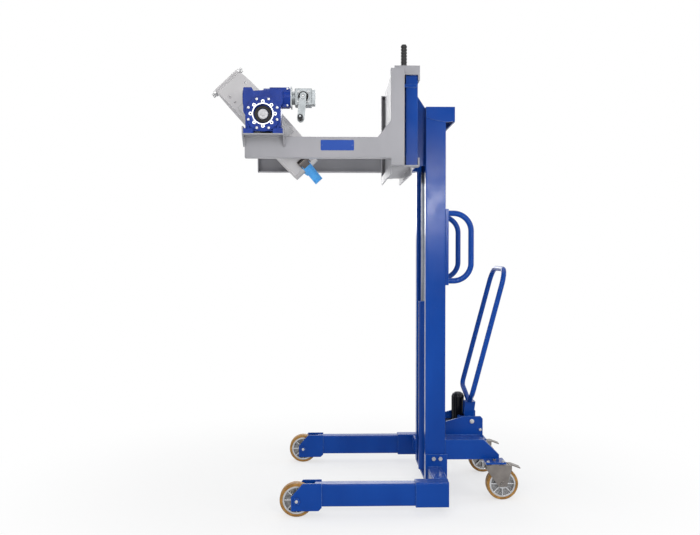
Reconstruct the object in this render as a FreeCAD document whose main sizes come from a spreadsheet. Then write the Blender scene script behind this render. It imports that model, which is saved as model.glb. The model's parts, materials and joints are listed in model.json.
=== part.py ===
"""Drum tipper: a pedestrian stacker whose raised frame turns a clamped drum with a worm gearbox.

Millimetres. +Z is up, +X points from the drum to the pump handle, the crank is on the -Y side.
The origin lies on the floor, in the middle plane, at the centre of the footprint.
Near means the crank side (-Y), far the other side.
"""
import FreeCAD, Part
import math
import os
import re

import Sketcher
from FreeCAD import Placement, Rotation, Vector

# Driving dimensions, one sheet cell each.
SIZES = {
    # Mast and lift
    "mast_front": 287,
    "mast_half_width": 228,
    "mast_bottom": 80,
    "mast_top": 1850,
    "column_depth": 95,
    "column_width": 50,
    "web_wall": 6,
    "flange_wall": 8,
    "roller_clearance": 0.5,
    "roller_width": 38,
    "roller_pin_radius": 12,
    "head_wall": 6,
    "head_drop": 66,
    "head_overhang": 42,
    "cylinder_setback": 23,
    "barrel_radius": 32,
    "barrel_top": 925,
    "bore_radius": 26,
    "rod_radius": 20,
    "piston_length": 40,
    "rod_engagement": 70,
    "pulley_radius": 44,
    "pulley_width": 26,
    "pulley_drop": 150,
    "pulley_pin_radius": 10,
    "chain_width": 20,
    "chain_height": 12,
    "chain_pitch": 25.4,
    "chain_gap": 0.6,
    # Grab handles on the mast
    "grab_height": 1194,
    "grab_spacing": 322,
    "grab_reach": 125,
    "grab_bend": 85,
    "grab_radius": 13.5,
    "grab_bar_depth": 16,
    "grab_bar_width": 30,
    # Carriage
    "mast_gap": 47,
    "bar_depth": 55,
    "bar_width": 50,
    "bar_wall": 6,
    "carriage_inset": 16,
    "carriage_height": 415,
    "carriage_lift": 293,
    "cheek_wall": 12,
    "cheek_depth": 105,
    "roller_spread": 150,
    "roller_drop": 198,
    "keeper_wall": 15,
    # Tipping frame
    "carriage_gap": 12,
    "upright_depth": 62,
    "upright_rise": 314,
    "upright_drop": 32,
    "arm_reach": 576,
    "arm_nose": 88,
    "arm_height": 95,
    "arm_width": 50,
    "arm_wall": 5,
    "arm_clearance": 27,
    "gusset_length": 60,
    "gusset_height": 76,
    "panel_recess": 20,
    "panel_wall": 6,
    "hook_height": 42,
    "hook_lip": 8,
    "hook_drop": 25,
    "lower_rail_height": 43,
    "clip_wall": 6,
    "clip_rise": 34,
    "clip_width": 62,
    "hook_seat": 20,
    "plinth_wall": 6,
    "plinth_gusset": 48,
    "plinth_tab": 38,
    "lock_pin_radius": 6,
    "lock_pin_inset": 9,
    "lock_grip_radius": 14,
    "lock_grip_length": 100,
    # Drum cradle
    "pivot_drop": 64,
    "tilt_angle": 133,
    "drum_radius": 290.5,
    "drum_clearance": 1.5,
    "saddle_wall": 6,
    "saddle_height": 146,
    "plate_rear_angle": 9,
    "plate_front_angle": 155,
    "doubler_wall": 8,
    "doubler_height": 116,
    "doubler_angle": 50,
    "boss_radius": 38,
    "boss_length": 12,
    "shaft_radius": 22.5,
    "far_shaft_radius": 20,
    "running_clearance": 0.05,
    "seat_clearance": 0.3,
    "slot_width": 11,
    "slot_length": 24,
    "slot_offset": 49,
    "rear_rail_depth": 16,
    "rear_rail_width": 84,
    "stud_radius": 6,
    "stud_length": 196,
    "stud_offset": 24,
    "strap_wall": 2.5,
    "strap_width": 45,
    "strap_tail": 190,
    "rear_lap_angle": 8,
    "rear_lap_wall": 5,
    "buckle_length": 46,
    "buckle_height": 17,
    "buckle_wall": 4,
    "buckle_pin_radius": 4,
    "buckle_angle": 9,
    "buckle_lever_length": 44,
    # Worm gearbox, bevel box and crank
    "gear_foot_height": 86,
    "gear_length": 176,
    "gear_width": 120,
    "gear_crown": 119,
    "gear_inset": 3,
    "gear_wall_inset": 9,
    "gear_arch": 10,
    "gear_foot_length": 44,
    "gear_foot_thickness": 22,
    "foot_bolt_radius": 7.5,
    "worm_offset": 80,
    "worm_radius": 43,
    "neck_length": 34,
    "cover_radius": 78,
    "cover_height": 5,
    "ring_radius": 48.5,
    "ring_height": 4,
    "seal_radius": 43.5,
    "seal_depth": 14,
    "lug_circle": 54.5,
    "lug_radius": 8,
    "lug_bore": 3.6,
    "cover_screw_circle": 69,
    "cover_screw_radius": 5,
    "bevel_offset": 179,
    "bevel_size": 76,
    "bevel_flange": 16,
    "bevel_boss_radius": 25,
    "bevel_boss_height": 8,
    "bevel_recess_radius": 23,
    "bevel_recess_depth": 14,
    "bevel_bolt_spacing": 44,
    "bevel_bolt_bore": 3,
    "crank_length": 103,
    "crank_hub_radius": 14.5,
    "crank_hub_length": 24,
    "crank_wall": 10,
    "crank_width": 32,
    "crank_neck": 22,
    "crank_hub_lip": 4,
    "crank_socket_radius": 6,
    "crank_shaft_radius": 10,
    "crank_lean": 6,
    "grip_length": 76,
    "grip_radius": 12,
    "grip_pin_radius": 5,
    # Legs and front wheels
    "leg_spacing": 487,
    "leg_width": 60,
    "leg_height": 100,
    "leg_bottom": 47,
    "leg_wall": 5,
    "leg_rear_reach": 72,
    "sleeve_wall": 6,
    "sleeve_length": 147,
    "outrigger_width": 70,
    "outrigger_height": 72,
    "outrigger_flange": 12,
    "outrigger_flange_height": 58,
    "wheel_base": 602,
    "wheel_radius": 75,
    "wheel_width": 46,
    "tyre_wall": 13,
    "hub_radius": 22,
    "hub_length": 48,
    "axle_radius": 10,
    "rib_wall": 5,
    "rib_height": 16,
    "fork_wall": 8,
    "fork_tail": 30,
    # Rear chassis, pump and castors
    "beam_bottom": 182,
    "beam_height": 94,
    "beam_top_length": 185,
    "beam_foot_length": 258,
    "beam_heel": 22,
    "beam_wall": 6,
    "deck_wall": 8,
    "bracket_spacing": 100,
    "bracket_wall": 8,
    "bracket_rise": 92,
    "bracket_overhang": 16,
    "lever_setback": 147,
    "lever_lift": 68,
    "lever_pin_radius": 10,
    "lever_width": 58,
    "lever_depth": 48,
    "lever_rise": 82,
    "lever_nose": 45,
    "lever_nose_height": 10,
    "lever_roller_radius": 10,
    "plunger_radius": 10,
    "plunger_head_radius": 11,
    "reservoir_radius": 32,
    "reservoir_offset": 64,
    "reservoir_shift": 2,
    "reservoir_height": 142,
    "pump_block_height": 44,
    "pump_block_length": 92,
    "pump_block_width": 136,
    "pump_block_lead": 62,
    "pump_block_side": 42,
    "handle_radius": 12.5,
    "handle_half_width": 160,
    "handle_length": 624,
    "handle_lean": 14.9,
    "handle_neck_back": 10,
    "handle_bend": 75,
    "handle_shoulder": 62,
    "handle_neck_bend": 40,
    "handle_dip": 10,
    "handle_foot_offset": 4,
    "handle_foot_gap": 2,
    "castor_setback": 230,
    "castor_outset": 22,
    "castor_trail": 36,
    "castor_plate": 96,
    "castor_plate_wall": 8,
    "castor_race": 8,
    "castor_race_radius": 34,
    "castor_wall": 5,
    "pedal_length": 56,
    "pedal_width": 44,
    "pedal_wall": 6,
    "pedal_flat": 18,
    "pedal_slope": 14,
    "pedal_pin_radius": 4,
    "castor_pin_radius": 8,
    "release_radius": 11,
    "release_length": 15,
    "release_stem_radius": 5,
    "frame_bolt_radius": 6,
    "frame_bolt_head": 10,
    "frame_bolt_rise": 42,
    "frame_bolt_inset": 38,
    "frame_bolt_spacing": 32,
    # Rounded edges
    "tube_round": 8,
    "cast_round": 5,
    "sheet_round": 3,
}

# Places worked out from the driving dimensions.
PLACES = {
    "mast_rear": "mast_front + column_depth",
    "pulley_height": "mast_top - pulley_drop",
    "pivot_height": "mast_top - pivot_drop",
    "column_inner": "mast_half_width - column_width",
    "roller_x": "mast_front + column_depth / 2",
    "roller_radius": "column_depth / 2 - flange_wall - roller_clearance",
    "roller_outer": "mast_half_width - web_wall - 2",
    "cylinder_x": "mast_front + cylinder_setback",
    "carriage_rear": "mast_front - mast_gap",
    "carriage_front": "carriage_rear - bar_depth",
    "upright_rear": "carriage_front - carriage_gap",
    "frame_face": "upright_rear - upright_depth",
    "pivot_x": "frame_face - arm_reach",
    "saddle_radius": "drum_radius + drum_clearance",
    "saddle_outer": "saddle_radius + saddle_wall",
    "doubler_inner": "saddle_outer + 0.1",
    "doubler_outer": "doubler_inner + doubler_wall",
    "boss_face": "doubler_outer + boss_length",
    "arm_inner": "saddle_outer + arm_clearance",
    "carriage_half_width": "arm_inner - carriage_inset",
    "arm_outer": "arm_inner + arm_width",
    "arm_front": "pivot_x - arm_nose",
    "arm_top": "pivot_height - gear_foot_height - plinth_wall",
    "arm_bottom": "arm_top - arm_height",
    "upright_top": "arm_top + upright_rise",
    "upright_bottom": "arm_bottom - upright_drop",
    "carriage_top": "arm_top + carriage_lift",
    "carriage_bottom": "carriage_top - carriage_height",
    "panel_x": "frame_face + panel_recess",
    "cheek_inner": "column_inner - cheek_wall - 8",
    "upper_roller_z": "carriage_top - roller_drop",
    "lower_roller_z": "upper_roller_z - roller_spread",
    "lock_pin_x": "carriage_front - lock_pin_inset",
    "lock_pin_y": "carriage_half_width - 9",
    "gear_inner": "arm_inner - gear_inset",
    "gear_outer": "gear_inner + gear_width",
    "gear_middle": "gear_inner + gear_width / 2",
    "worm_z": "pivot_height + worm_offset",
    "bevel_x": "pivot_x + bevel_offset",
    "bevel_face": "gear_middle + bevel_size / 2",
    "crank_face": "bevel_face + bevel_boss_height + 2",
    "grip_start": "crank_face + crank_hub_length + 2",
    "leg_inner": "leg_spacing - leg_width / 2",
    "leg_outer": "leg_spacing + leg_width / 2",
    "leg_top": "leg_bottom + leg_height",
    "leg_rear": "mast_front + leg_rear_reach",
    "wheel_x": "mast_front - wheel_base",
    "leg_front": "wheel_x + wheel_radius + 6",
    "core_radius": "wheel_radius - tyre_wall",
    "beam_top": "beam_bottom + beam_height",
    "deck_top": "beam_top - 4",
    "lever_x": "mast_rear + lever_setback",
    "lever_height": "deck_top + lever_lift",
    "castor_x": "mast_rear + castor_setback",
    "castor_spacing": "mast_half_width + castor_outset",
    "plunger_x": "lever_x - lever_nose",
    "plunger_top": "lever_height - lever_roller_radius - seat_clearance",
    "handle_foot_z": "lever_height + lever_rise",
    "castor_plate_bottom": "beam_bottom - castor_plate_wall",
    "castor_wheel_x": "castor_x + castor_trail",
    "crown_top": "castor_plate_bottom - seat_clearance - castor_race",
    "crown_bottom": "crown_top - castor_wall",
    "pedal_x": "castor_x + castor_race_radius + 36",
    "pedal_pin_z": "crown_top - 8",
    "frame_bolt_x": "mast_front + frame_bolt_inset",
    "frame_bolt_z": "leg_top + frame_bolt_rise",
    "release_x": "plunger_x - 40",
    "release_z": "deck_top + pump_block_height / 2",
}

ALONG = {
    "x": Rotation(Vector(0, 1, 0), 90),
    "y": Rotation(Vector(1, 0, 0), -90),
    "z": Rotation(),
}

doc = FreeCAD.newDocument("DrumTipper")
sizes = doc.addObject("Spreadsheet::Sheet", "Sizes")
places = doc.addObject("Spreadsheet::Sheet", "Places")
nodes = {}


def bind(text, known=("Sizes", "Places")):
    """Turn the plain names in a formula into references to the sheets that hold them."""

    def refer(match):
        word = match.group(0)
        if word in SIZES:
            return "Sizes." + word
        if word in PLACES and "Places" in known:
            return "Places." + word
        return word

    return re.sub(r"[a-z][a-z_]*[a-z]", refer, text)


def fill_sheets():
    """Write the driving dimensions and the places that follow from them."""
    for row, (alias, value) in enumerate(SIZES.items(), start=1):
        sizes.set(f"A{row}", str(value))
        sizes.setAlias(f"A{row}", alias)
    doc.recompute()
    for row, (alias, formula) in enumerate(PLACES.items(), start=1):
        places.set(f"A{row}", "=" + bind(formula, known=("Sizes",)))
        places.setAlias(f"A{row}", alias)
    doc.recompute()


def read(alias):
    """Value of a named size or place."""
    sheet = sizes if alias in SIZES else places
    return float(sheet.get(alias))


def move(piece, at):
    """Bind the position of a piece to formulas for x, y and z."""
    for axis, text in zip("xyz", at):
        piece.setExpression(f"Placement.Base.{axis}", bind(text))
    return piece


def box(name, size, at):
    piece = doc.addObject("Part::Box", name)
    for side, text in zip(("Length", "Width", "Height"), size):
        piece.setExpression(side, bind(text))
    return move(piece, at)


def cylinder(name, radius, height, at, along="z"):
    piece = doc.addObject("Part::Cylinder", name)
    piece.setExpression("Radius", bind(radius))
    piece.setExpression("Height", bind(height))
    piece.Placement = Placement(Vector(), ALONG[along])
    return move(piece, at)


def hexagon(name, radius, height, at, along="z"):
    """A hexagonal bolt head or nut."""
    piece = doc.addObject("Part::Prism", name)
    piece.Polygon = 6
    piece.setExpression("Circumradius", bind(radius))
    piece.setExpression("Height", bind(height))
    piece.Placement = Placement(Vector(), ALONG[along])
    return move(piece, at)


def runs_along(axis):
    """Test for straight edges parallel to an axis."""
    direction = {"x": Vector(1, 0, 0), "y": Vector(0, 1, 0), "z": Vector(0, 0, 1)}[axis]

    def test(edge):
        if not isinstance(edge.Curve, Part.Line):
            return False
        return abs(edge.tangentAt(edge.FirstParameter).dot(direction)) > 0.9999

    return test


def lies_at(axis, value):
    """Test for edges that lie in a plane across an axis."""

    def test(edge):
        return all(abs(getattr(vertex, axis.upper()) - value) < 0.01 for vertex in edge.Vertexes)

    return test


def rounded(piece, radius, wanted):
    """Round the edges of a piece that pass a test."""
    doc.recompute()
    result = doc.addObject("Part::Fillet", piece.Name + "_rounded")
    result.Base = piece
    edges = enumerate(piece.Shape.Edges, start=1)
    result.Edges = [(index, read(radius), read(radius)) for index, edge in edges if wanted(edge)]
    return result


def sector(name, outer, inner, height, start, sweep):
    """Part of a ring about the Z axis, centred on the XY plane; angles in degrees."""
    whole = doc.addObject("Part::Cylinder", name + "_outer")
    whole.setExpression("Radius", bind(outer))
    whole.setExpression("Height", bind(height))
    whole.setExpression("Angle", bind(sweep))
    whole.Placement = Placement(Vector(), Rotation(Vector(0, 0, 1), start))
    move(whole, ("0", "0", f"-({height}) / 2"))
    hole = cylinder(name + "_inner", inner, f"{height} + 2", ("0", "0", f"-({height}) / 2 - 1"))
    return cut(name, whole, [hole])


def fuse(name, pieces):
    joined = doc.addObject("Part::MultiFuse", name)
    joined.Shapes = pieces
    joined.Refine = True
    return joined


def group(name, pieces):
    """Separate solids kept together as one node."""
    kept = doc.addObject("Part::Compound", name)
    kept.Links = pieces
    return kept


def cut(name, base, tools):
    result = doc.addObject("Part::Cut", name)
    result.Base = base
    result.Tool = tools[0] if len(tools) == 1 else group(name + "_tools", tools)
    return result


def mirror(name, source):
    """The far-side twin of a near-side piece."""
    twin = doc.addObject("Part::Mirroring", name)
    twin.Source = source
    twin.Normal = Vector(0, 1, 0)
    return twin


def sketch_on(body, plane_role, points, holes=()):
    """A closed outline with bound corners, and round holes as (x, y, radius)."""
    sketch = body.newObject("Sketcher::SketchObject", body.Name + "_outline")
    plane = [item for item in body.Origin.OriginFeatures if item.Role == plane_role][0]
    sketch.AttachmentSupport = (plane, [""])
    sketch.MapMode = "FlatFace"
    count = len(points)
    turn = 2 * math.pi / count
    start = [Vector(math.cos(turn * i), math.sin(turn * i), 0) for i in range(count)]
    for i in range(count):
        sketch.addGeometry(Part.LineSegment(start[i], start[(i + 1) % count]), False)
    for i in range(count):
        sketch.addConstraint(Sketcher.Constraint("Coincident", i, 2, (i + 1) % count, 1))

    def fix(kind, item, point, text):
        index = sketch.addConstraint(Sketcher.Constraint(kind, -1, 1, item, point, 1.0))
        sketch.setExpression(f"Constraints[{index}]", bind(text))

    for i, (across, up) in enumerate(points):
        fix("DistanceX", i, 1, across)
        fix("DistanceY", i, 1, up)
    for across, up, radius in holes:
        circle = sketch.addGeometry(Part.Circle(Vector(), Vector(0, 0, 1), 1), False)
        index = sketch.addConstraint(Sketcher.Constraint("Radius", circle, 1.0))
        sketch.setExpression(f"Constraints[{index}]", bind(radius))
        fix("DistanceX", circle, 3, across)
        fix("DistanceY", circle, 3, up)
    return sketch


def plate(name, points, thickness, y, holes=()):
    """A flat outline in X and Z, padded from y towards -Y."""
    body = doc.addObject("PartDesign::Body", name)
    sketch = sketch_on(body, "XZ_Plane", points, holes)
    pad = body.newObject("PartDesign::Pad", name + "_pad")
    pad.Profile = sketch
    pad.setExpression("Length", bind(thickness))
    return move(body, ("0", y, "0"))


def turned(name, points, at, along="z"):
    """A round piece: its half section is given as (radius, height)."""
    body = doc.addObject("PartDesign::Body", name)
    sketch = sketch_on(body, "XZ_Plane", points)
    spin = body.newObject("PartDesign::Revolution", name + "_turn")
    spin.Profile = sketch
    spin.ReferenceAxis = (sketch, ["V_Axis"])
    spin.Angle = 360
    body.Placement = Placement(Vector(), ALONG[along])
    return move(body, at)


def bent_tube(name, corners, bends, radius):
    """A round bar along straight runs joined by tangent arcs, one bend radius per inner corner."""
    edges = []
    here = corners[0]
    for i, bend in enumerate(bends, start=1):
        corner = corners[i]
        back = (corners[i - 1] - corner).normalize()
        ahead = (corners[i + 1] - corner).normalize()
        half = back.getAngle(ahead) / 2
        reach = bend / math.tan(half)
        first = corner + back * reach
        last = corner + ahead * reach
        centre = corner + (back + ahead).normalize() * (bend / math.sin(half))
        middle = centre + (corner - centre).normalize() * bend
        edges.append(Part.LineSegment(here, first).toShape())
        edges.append(Part.Arc(first, middle, last).toShape())
        here = last
    edges.append(Part.LineSegment(here, corners[-1]).toShape())
    path = Part.Wire(edges)
    section = Part.Wire([Part.makeCircle(radius, corners[0], corners[1] - corners[0])])
    piece = doc.addObject("Part::Feature", name)
    piece.Shape = path.makePipeShell([section], True, False)
    return piece


def node(name, piece):
    """Register a finished sub-part under the name of its file."""
    piece.Label = name
    nodes[name] = piece
    return piece


def on_cradle(piece):
    """Turn a piece, modelled upright about the pivot, to the tilt at which the drum is held."""
    piece.Placement = Placement(Vector(), Rotation(Vector(0, -1, 0), read("tilt_angle")))
    return move(piece, ("pivot_x", "0", "pivot_height"))


def bolt_holes(name):
    """Holes for the two bolts that hold an outrigger to its column, near side."""
    holes = []
    for i in range(2):
        holes.append(cylinder(f"{name}_bolt_hole_{i}", "frame_bolt_radius + running_clearance", "40", (
            f"frame_bolt_x + {i} * frame_bolt_spacing", "-mast_half_width - 25", "frame_bolt_z"), "y"))
    return holes


def mast():
    """Two facing channel columns, a head across their tops and the lift cylinder between them."""
    height = "mast_top - mast_bottom"
    outer = box("column_block", ("column_depth", "column_width", height),
                ("mast_front", "-mast_half_width", "mast_bottom"))
    channel = box("column_channel", ("column_depth - 2 * flange_wall", "column_width", height + " + 2"),
                  ("mast_front + flange_wall", "-mast_half_width + web_wall", "mast_bottom - 1"))
    outer = rounded(outer, "sheet_round", runs_along("z"))
    tools = [channel, *bolt_holes("column")]
    near = node("mast_column_near", cut("mast_column_near", outer, tools))
    node("mast_column_far", mirror("mast_column_far", near))

    beam = box("head_beam", ("head_overhang", "2 * mast_half_width", "head_drop"),
               ("mast_rear", "-mast_half_width", "mast_top - head_drop"))
    hollow = box("head_beam_hollow",
                 ("head_overhang - head_wall", "2 * mast_half_width", "head_drop - head_wall"),
                 ("mast_rear", "-mast_half_width", "mast_top - head_drop"))
    pieces = [cut("head_beam_shell", beam, [hollow])]
    for side in ("near", "far"):
        cap_y = "-mast_half_width" if side == "near" else "column_inner"
        pieces.append(box("head_cap_" + side, ("column_depth + head_overhang", "column_width", "head_wall"),
                          ("mast_front", cap_y, "mast_top")))
        cheek_y = "-mast_half_width" if side == "near" else "mast_half_width + head_wall"
        pieces.append(plate("head_cheek_" + side, (
            ("mast_front", "mast_top + head_wall"),
            ("mast_front", "mast_top - head_drop + 22"),
            ("mast_front + column_depth / 2", "mast_top - head_drop + 8"),
            ("mast_rear", "mast_top - head_drop"),
            ("mast_rear + head_overhang", "mast_top - head_drop + 4"),
            ("mast_rear + head_overhang", "mast_top + head_wall"),
        ), "head_wall", cheek_y))
    node("mast_head", fuse("mast_head", pieces))

    barrel = turned("barrel_body", (
        ("0", "mast_bottom"),
        ("barrel_radius", "mast_bottom"),
        ("barrel_radius", "barrel_top"),
        ("rod_radius + running_clearance", "barrel_top"),
        ("rod_radius + running_clearance", "barrel_top - 30"),
        ("bore_radius", "barrel_top - 30"),
        ("bore_radius", "mast_bottom + 20"),
        ("0", "mast_bottom + 20"),
    ), ("cylinder_x", "0", "0"))
    chain_x = "cylinder_x + pulley_radius + chain_gap + chain_height / 2"
    anchor = box("chain_anchor",
                 (f"{chain_x} + 10 - cylinder_x - barrel_radius + 4", "chain_width + 8", "24"),
                 ("cylinder_x + barrel_radius - 4", "-chain_width / 2 - 4", "barrel_top - 24"))
    node("lift_cylinder", fuse("lift_cylinder", [barrel, anchor]))


def lift_rod():
    """Piston rod with the pulley yoke on top, the pulley and the lifting chain over it."""
    rod_foot = "barrel_top - 30 - rod_engagement"
    rod = turned("rod_body", (
        ("0", rod_foot),
        ("bore_radius - running_clearance", rod_foot),
        ("bore_radius - running_clearance", rod_foot + " + piston_length"),
        ("rod_radius", rod_foot + " + piston_length"),
        ("rod_radius", "pulley_height - pulley_radius - 12"),
        ("0", "pulley_height - pulley_radius - 12"),
    ), ("cylinder_x", "0", "0"))
    half_gap = "(pulley_width / 2 + 1)"
    bridge = box("yoke_bridge", ("50", f"2 * ({half_gap} + 8)", "10"),
                 ("cylinder_x - 25", f"-{half_gap} - 8", "pulley_height - pulley_radius - 18"))
    ears = []
    for side, y in (("near", f"-{half_gap} - 8"), ("far", half_gap)):
        ears.append(box("yoke_ear_" + side, ("44", "8", "pulley_radius + 28"),
                        ("cylinder_x - 22", y, "pulley_height - pulley_radius - 12")))
    pin = cylinder("pulley_pin", "pulley_pin_radius", f"2 * ({half_gap} + 12)",
                   ("cylinder_x", f"-{half_gap} - 12", "pulley_height"), "y")
    node("piston_rod", fuse("piston_rod", [rod, bridge, *ears, pin]))

    node("chain_pulley", turned("chain_pulley", (
        ("pulley_pin_radius + running_clearance", "-pulley_width / 2"),
        ("pulley_radius + 5", "-pulley_width / 2"),
        ("pulley_radius + 5", "-chain_width / 2 - 1"),
        ("pulley_radius", "-chain_width / 2 - 1"),
        ("pulley_radius", "chain_width / 2 + 1"),
        ("pulley_radius + 5", "chain_width / 2 + 1"),
        ("pulley_radius + 5", "pulley_width / 2"),
        ("pulley_pin_radius + running_clearance", "pulley_width / 2"),
    ), ("cylinder_x", "0", "pulley_height"), "y"))


def chain_strand(name, side, low):
    """Half of the wrap over the pulley and the straight run below it, as plates on cross pins."""
    run = f"{side} * (pulley_radius + chain_gap + chain_height / 2)"
    links = []
    count = int((read("pulley_height") - low) // read("chain_pitch"))
    step = (read("pulley_height") - low) / count
    for i in range(count):
        wide = i % 2 == 0
        width = read("chain_width") if wide else read("chain_width") * 0.55
        link = doc.addObject("Part::Box", f"{name}_link_{i}")
        link.setExpression("Length", bind("chain_height"))
        link.Width = width
        link.Height = step - 0.8
        foot = (f"cylinder_x + {run} - chain_height / 2", str(-width / 2), str(low + step * i))
        links.append(move(link, foot))
        links.append(cylinder(f"{name}_pin_{i}", "chain_height / 4", "6",
                              (f"cylinder_x + {run}", "0", str(low + step * (i + 1) - 3.4))))
    wrap = doc.addObject("Part::Cylinder", name + "_wrap_outer")
    wrap.setExpression("Radius", bind("pulley_radius + chain_gap + chain_height"))
    wrap.setExpression("Height", bind("chain_width"))
    wrap.Angle = 90
    start = Rotation(Vector(1, 0, 0), -90)
    turn = Rotation(Vector(0, 0, 1), -90 if side > 0 else 180)
    wrap.Placement = Placement(Vector(), start.multiply(turn))
    move(wrap, ("cylinder_x", "-chain_width / 2", "pulley_height"))
    inner = cylinder(name + "_wrap_inner", "pulley_radius + chain_gap", "chain_width + 2",
                     ("cylinder_x", "-chain_width / 2 - 1", "pulley_height"), "y")
    links.append(cut(name + "_wrap", wrap, [inner]))
    return node(name, fuse(name, links))


def chain():
    """The chain runs from the carriage over the pulley down to the head of the barrel."""
    chain_strand("chain_front", -1, read("carriage_bottom") + 34)
    chain_strand("chain_rear", 1, read("barrel_top"))


def grab_handles():
    """A bent round bar with a flat back bar, on the rear face of each column."""
    y = -(read("mast_half_width") - read("column_width") / 2)
    back = read("mast_rear") + read("grab_bar_depth") - 2
    reach = read("mast_rear") + read("grab_reach")
    low = read("grab_height") - read("grab_spacing") / 2
    high = low + read("grab_spacing")
    loop = bent_tube("grab_loop", [
        Vector(back, y, low),
        Vector(reach, y, low),
        Vector(reach, y, high),
        Vector(back, y, high),
    ], [read("grab_bend")] * 2, read("grab_radius"))
    bar = box("grab_bar", ("grab_bar_depth", "grab_bar_width", "grab_spacing + 2 * grab_radius + 14"),
              ("mast_rear", "-mast_half_width + column_width / 2 - grab_bar_width / 2",
               "grab_height - grab_spacing / 2 - grab_radius - 7"))
    near = node("grab_handle_near", fuse("grab_handle_near", [loop, bar]))
    node("grab_handle_far", mirror("grab_handle_far", near))


def carriage():
    """Welded carriage: an upright frame in front of the mast with cheeks that carry the rollers."""
    bars = []
    hollows = []
    depth = "bar_depth - bar_wall + 1"
    for side, y in (("near", "-carriage_half_width"), ("far", "carriage_half_width - bar_width")):
        bar = box("bar_" + side, ("bar_depth", "bar_width", "carriage_height"),
                  ("carriage_front", y, "carriage_bottom"))
        bars.append(rounded(bar, "sheet_round", runs_along("z")))
        hollows.append(box("bar_hollow_" + side,
                           (depth, "bar_width - 2 * bar_wall", "carriage_height - 2 * bar_wall"),
                           ("carriage_front - 1", f"{y} + bar_wall", "carriage_bottom + bar_wall")))
    for level, z in (("top", "carriage_top - bar_width"), ("bottom", "carriage_bottom")):
        bars.append(box("crossbar_" + level, ("bar_depth", "2 * carriage_half_width", "bar_width"),
                        ("carriage_front", "-carriage_half_width", z)))
        hollows.append(box("crossbar_hollow_" + level,
                           (depth, "2 * (carriage_half_width - bar_wall)", "bar_width - 2 * bar_wall"),
                           ("carriage_front - 1", "-carriage_half_width + bar_wall", f"{z} + bar_wall")))
    pieces = [cut("carriage_channels", fuse("carriage_bars", bars), hollows)]
    pieces.append(box("chain_lug", ("chain_pitch + 8", "chain_width + 8", "34"),
                      ("carriage_rear - 2", "-chain_width / 2 - 4", "carriage_bottom")))
    cheek_rear = "carriage_rear + cheek_depth"
    for side, y in (("near", "-cheek_inner"), ("far", "cheek_inner + cheek_wall")):
        pieces.append(plate("carriage_cheek_" + side, (
            ("carriage_rear - 2", "carriage_bottom + 6"),
            (cheek_rear, "carriage_bottom + 20"),
            (cheek_rear, "upper_roller_z + 45"),
            ("mast_front + 12", "mast_top - 4"),
            ("carriage_rear - 2", "carriage_top - 48"),
        ), "cheek_wall", y))
        outward = -1 if side == "near" else 1
        length = "roller_outer - cheek_inner - 2"
        for level in ("upper", "lower"):
            start = f"-cheek_inner - ({length})" if outward < 0 else "cheek_inner"
            pieces.append(cylinder(f"roller_pin_{side}_{level}", "roller_pin_radius", length,
                                   ("roller_x", start, f"{level}_roller_z"), "y"))
    for side in (-1, 1):
        keeper = box(f"keeper_{side + 1}",
                     ("carriage_rear - bar_wall + 1 - panel_x - panel_wall - 6", "30", "keeper_wall"),
                     ("panel_x + panel_wall + 6", f"{side} * lock_pin_y - 15", "carriage_top - 56"))
        hole = cylinder(f"keeper_hole_{side + 1}", "lock_pin_radius + running_clearance", "keeper_wall + 2",
                        ("lock_pin_x", f"{side} * lock_pin_y", "carriage_top - 57"))
        pieces.append(cut(f"keeper_lug_{side + 1}", keeper, [hole]))
    node("carriage_frame", fuse("carriage_frame", pieces))

    for side, sign in (("near", -1), ("far", 1)):
        middle = f"{sign} * (roller_outer - roller_width / 2)"
        for level in ("upper", "lower"):
            node(f"roller_{side}_{level}", turned(f"roller_{side}_{level}", (
                ("roller_pin_radius + running_clearance", "-roller_width / 2"),
                ("roller_radius - 2", "-roller_width / 2"),
                ("roller_radius", "-roller_width / 2 + 2"),
                ("roller_radius", "roller_width / 2 - 2"),
                ("roller_radius - 2", "roller_width / 2"),
                ("roller_pin_radius + running_clearance", "roller_width / 2"),
            ), ("roller_x", middle, f"{level}_roller_z"), "y"))


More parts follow.
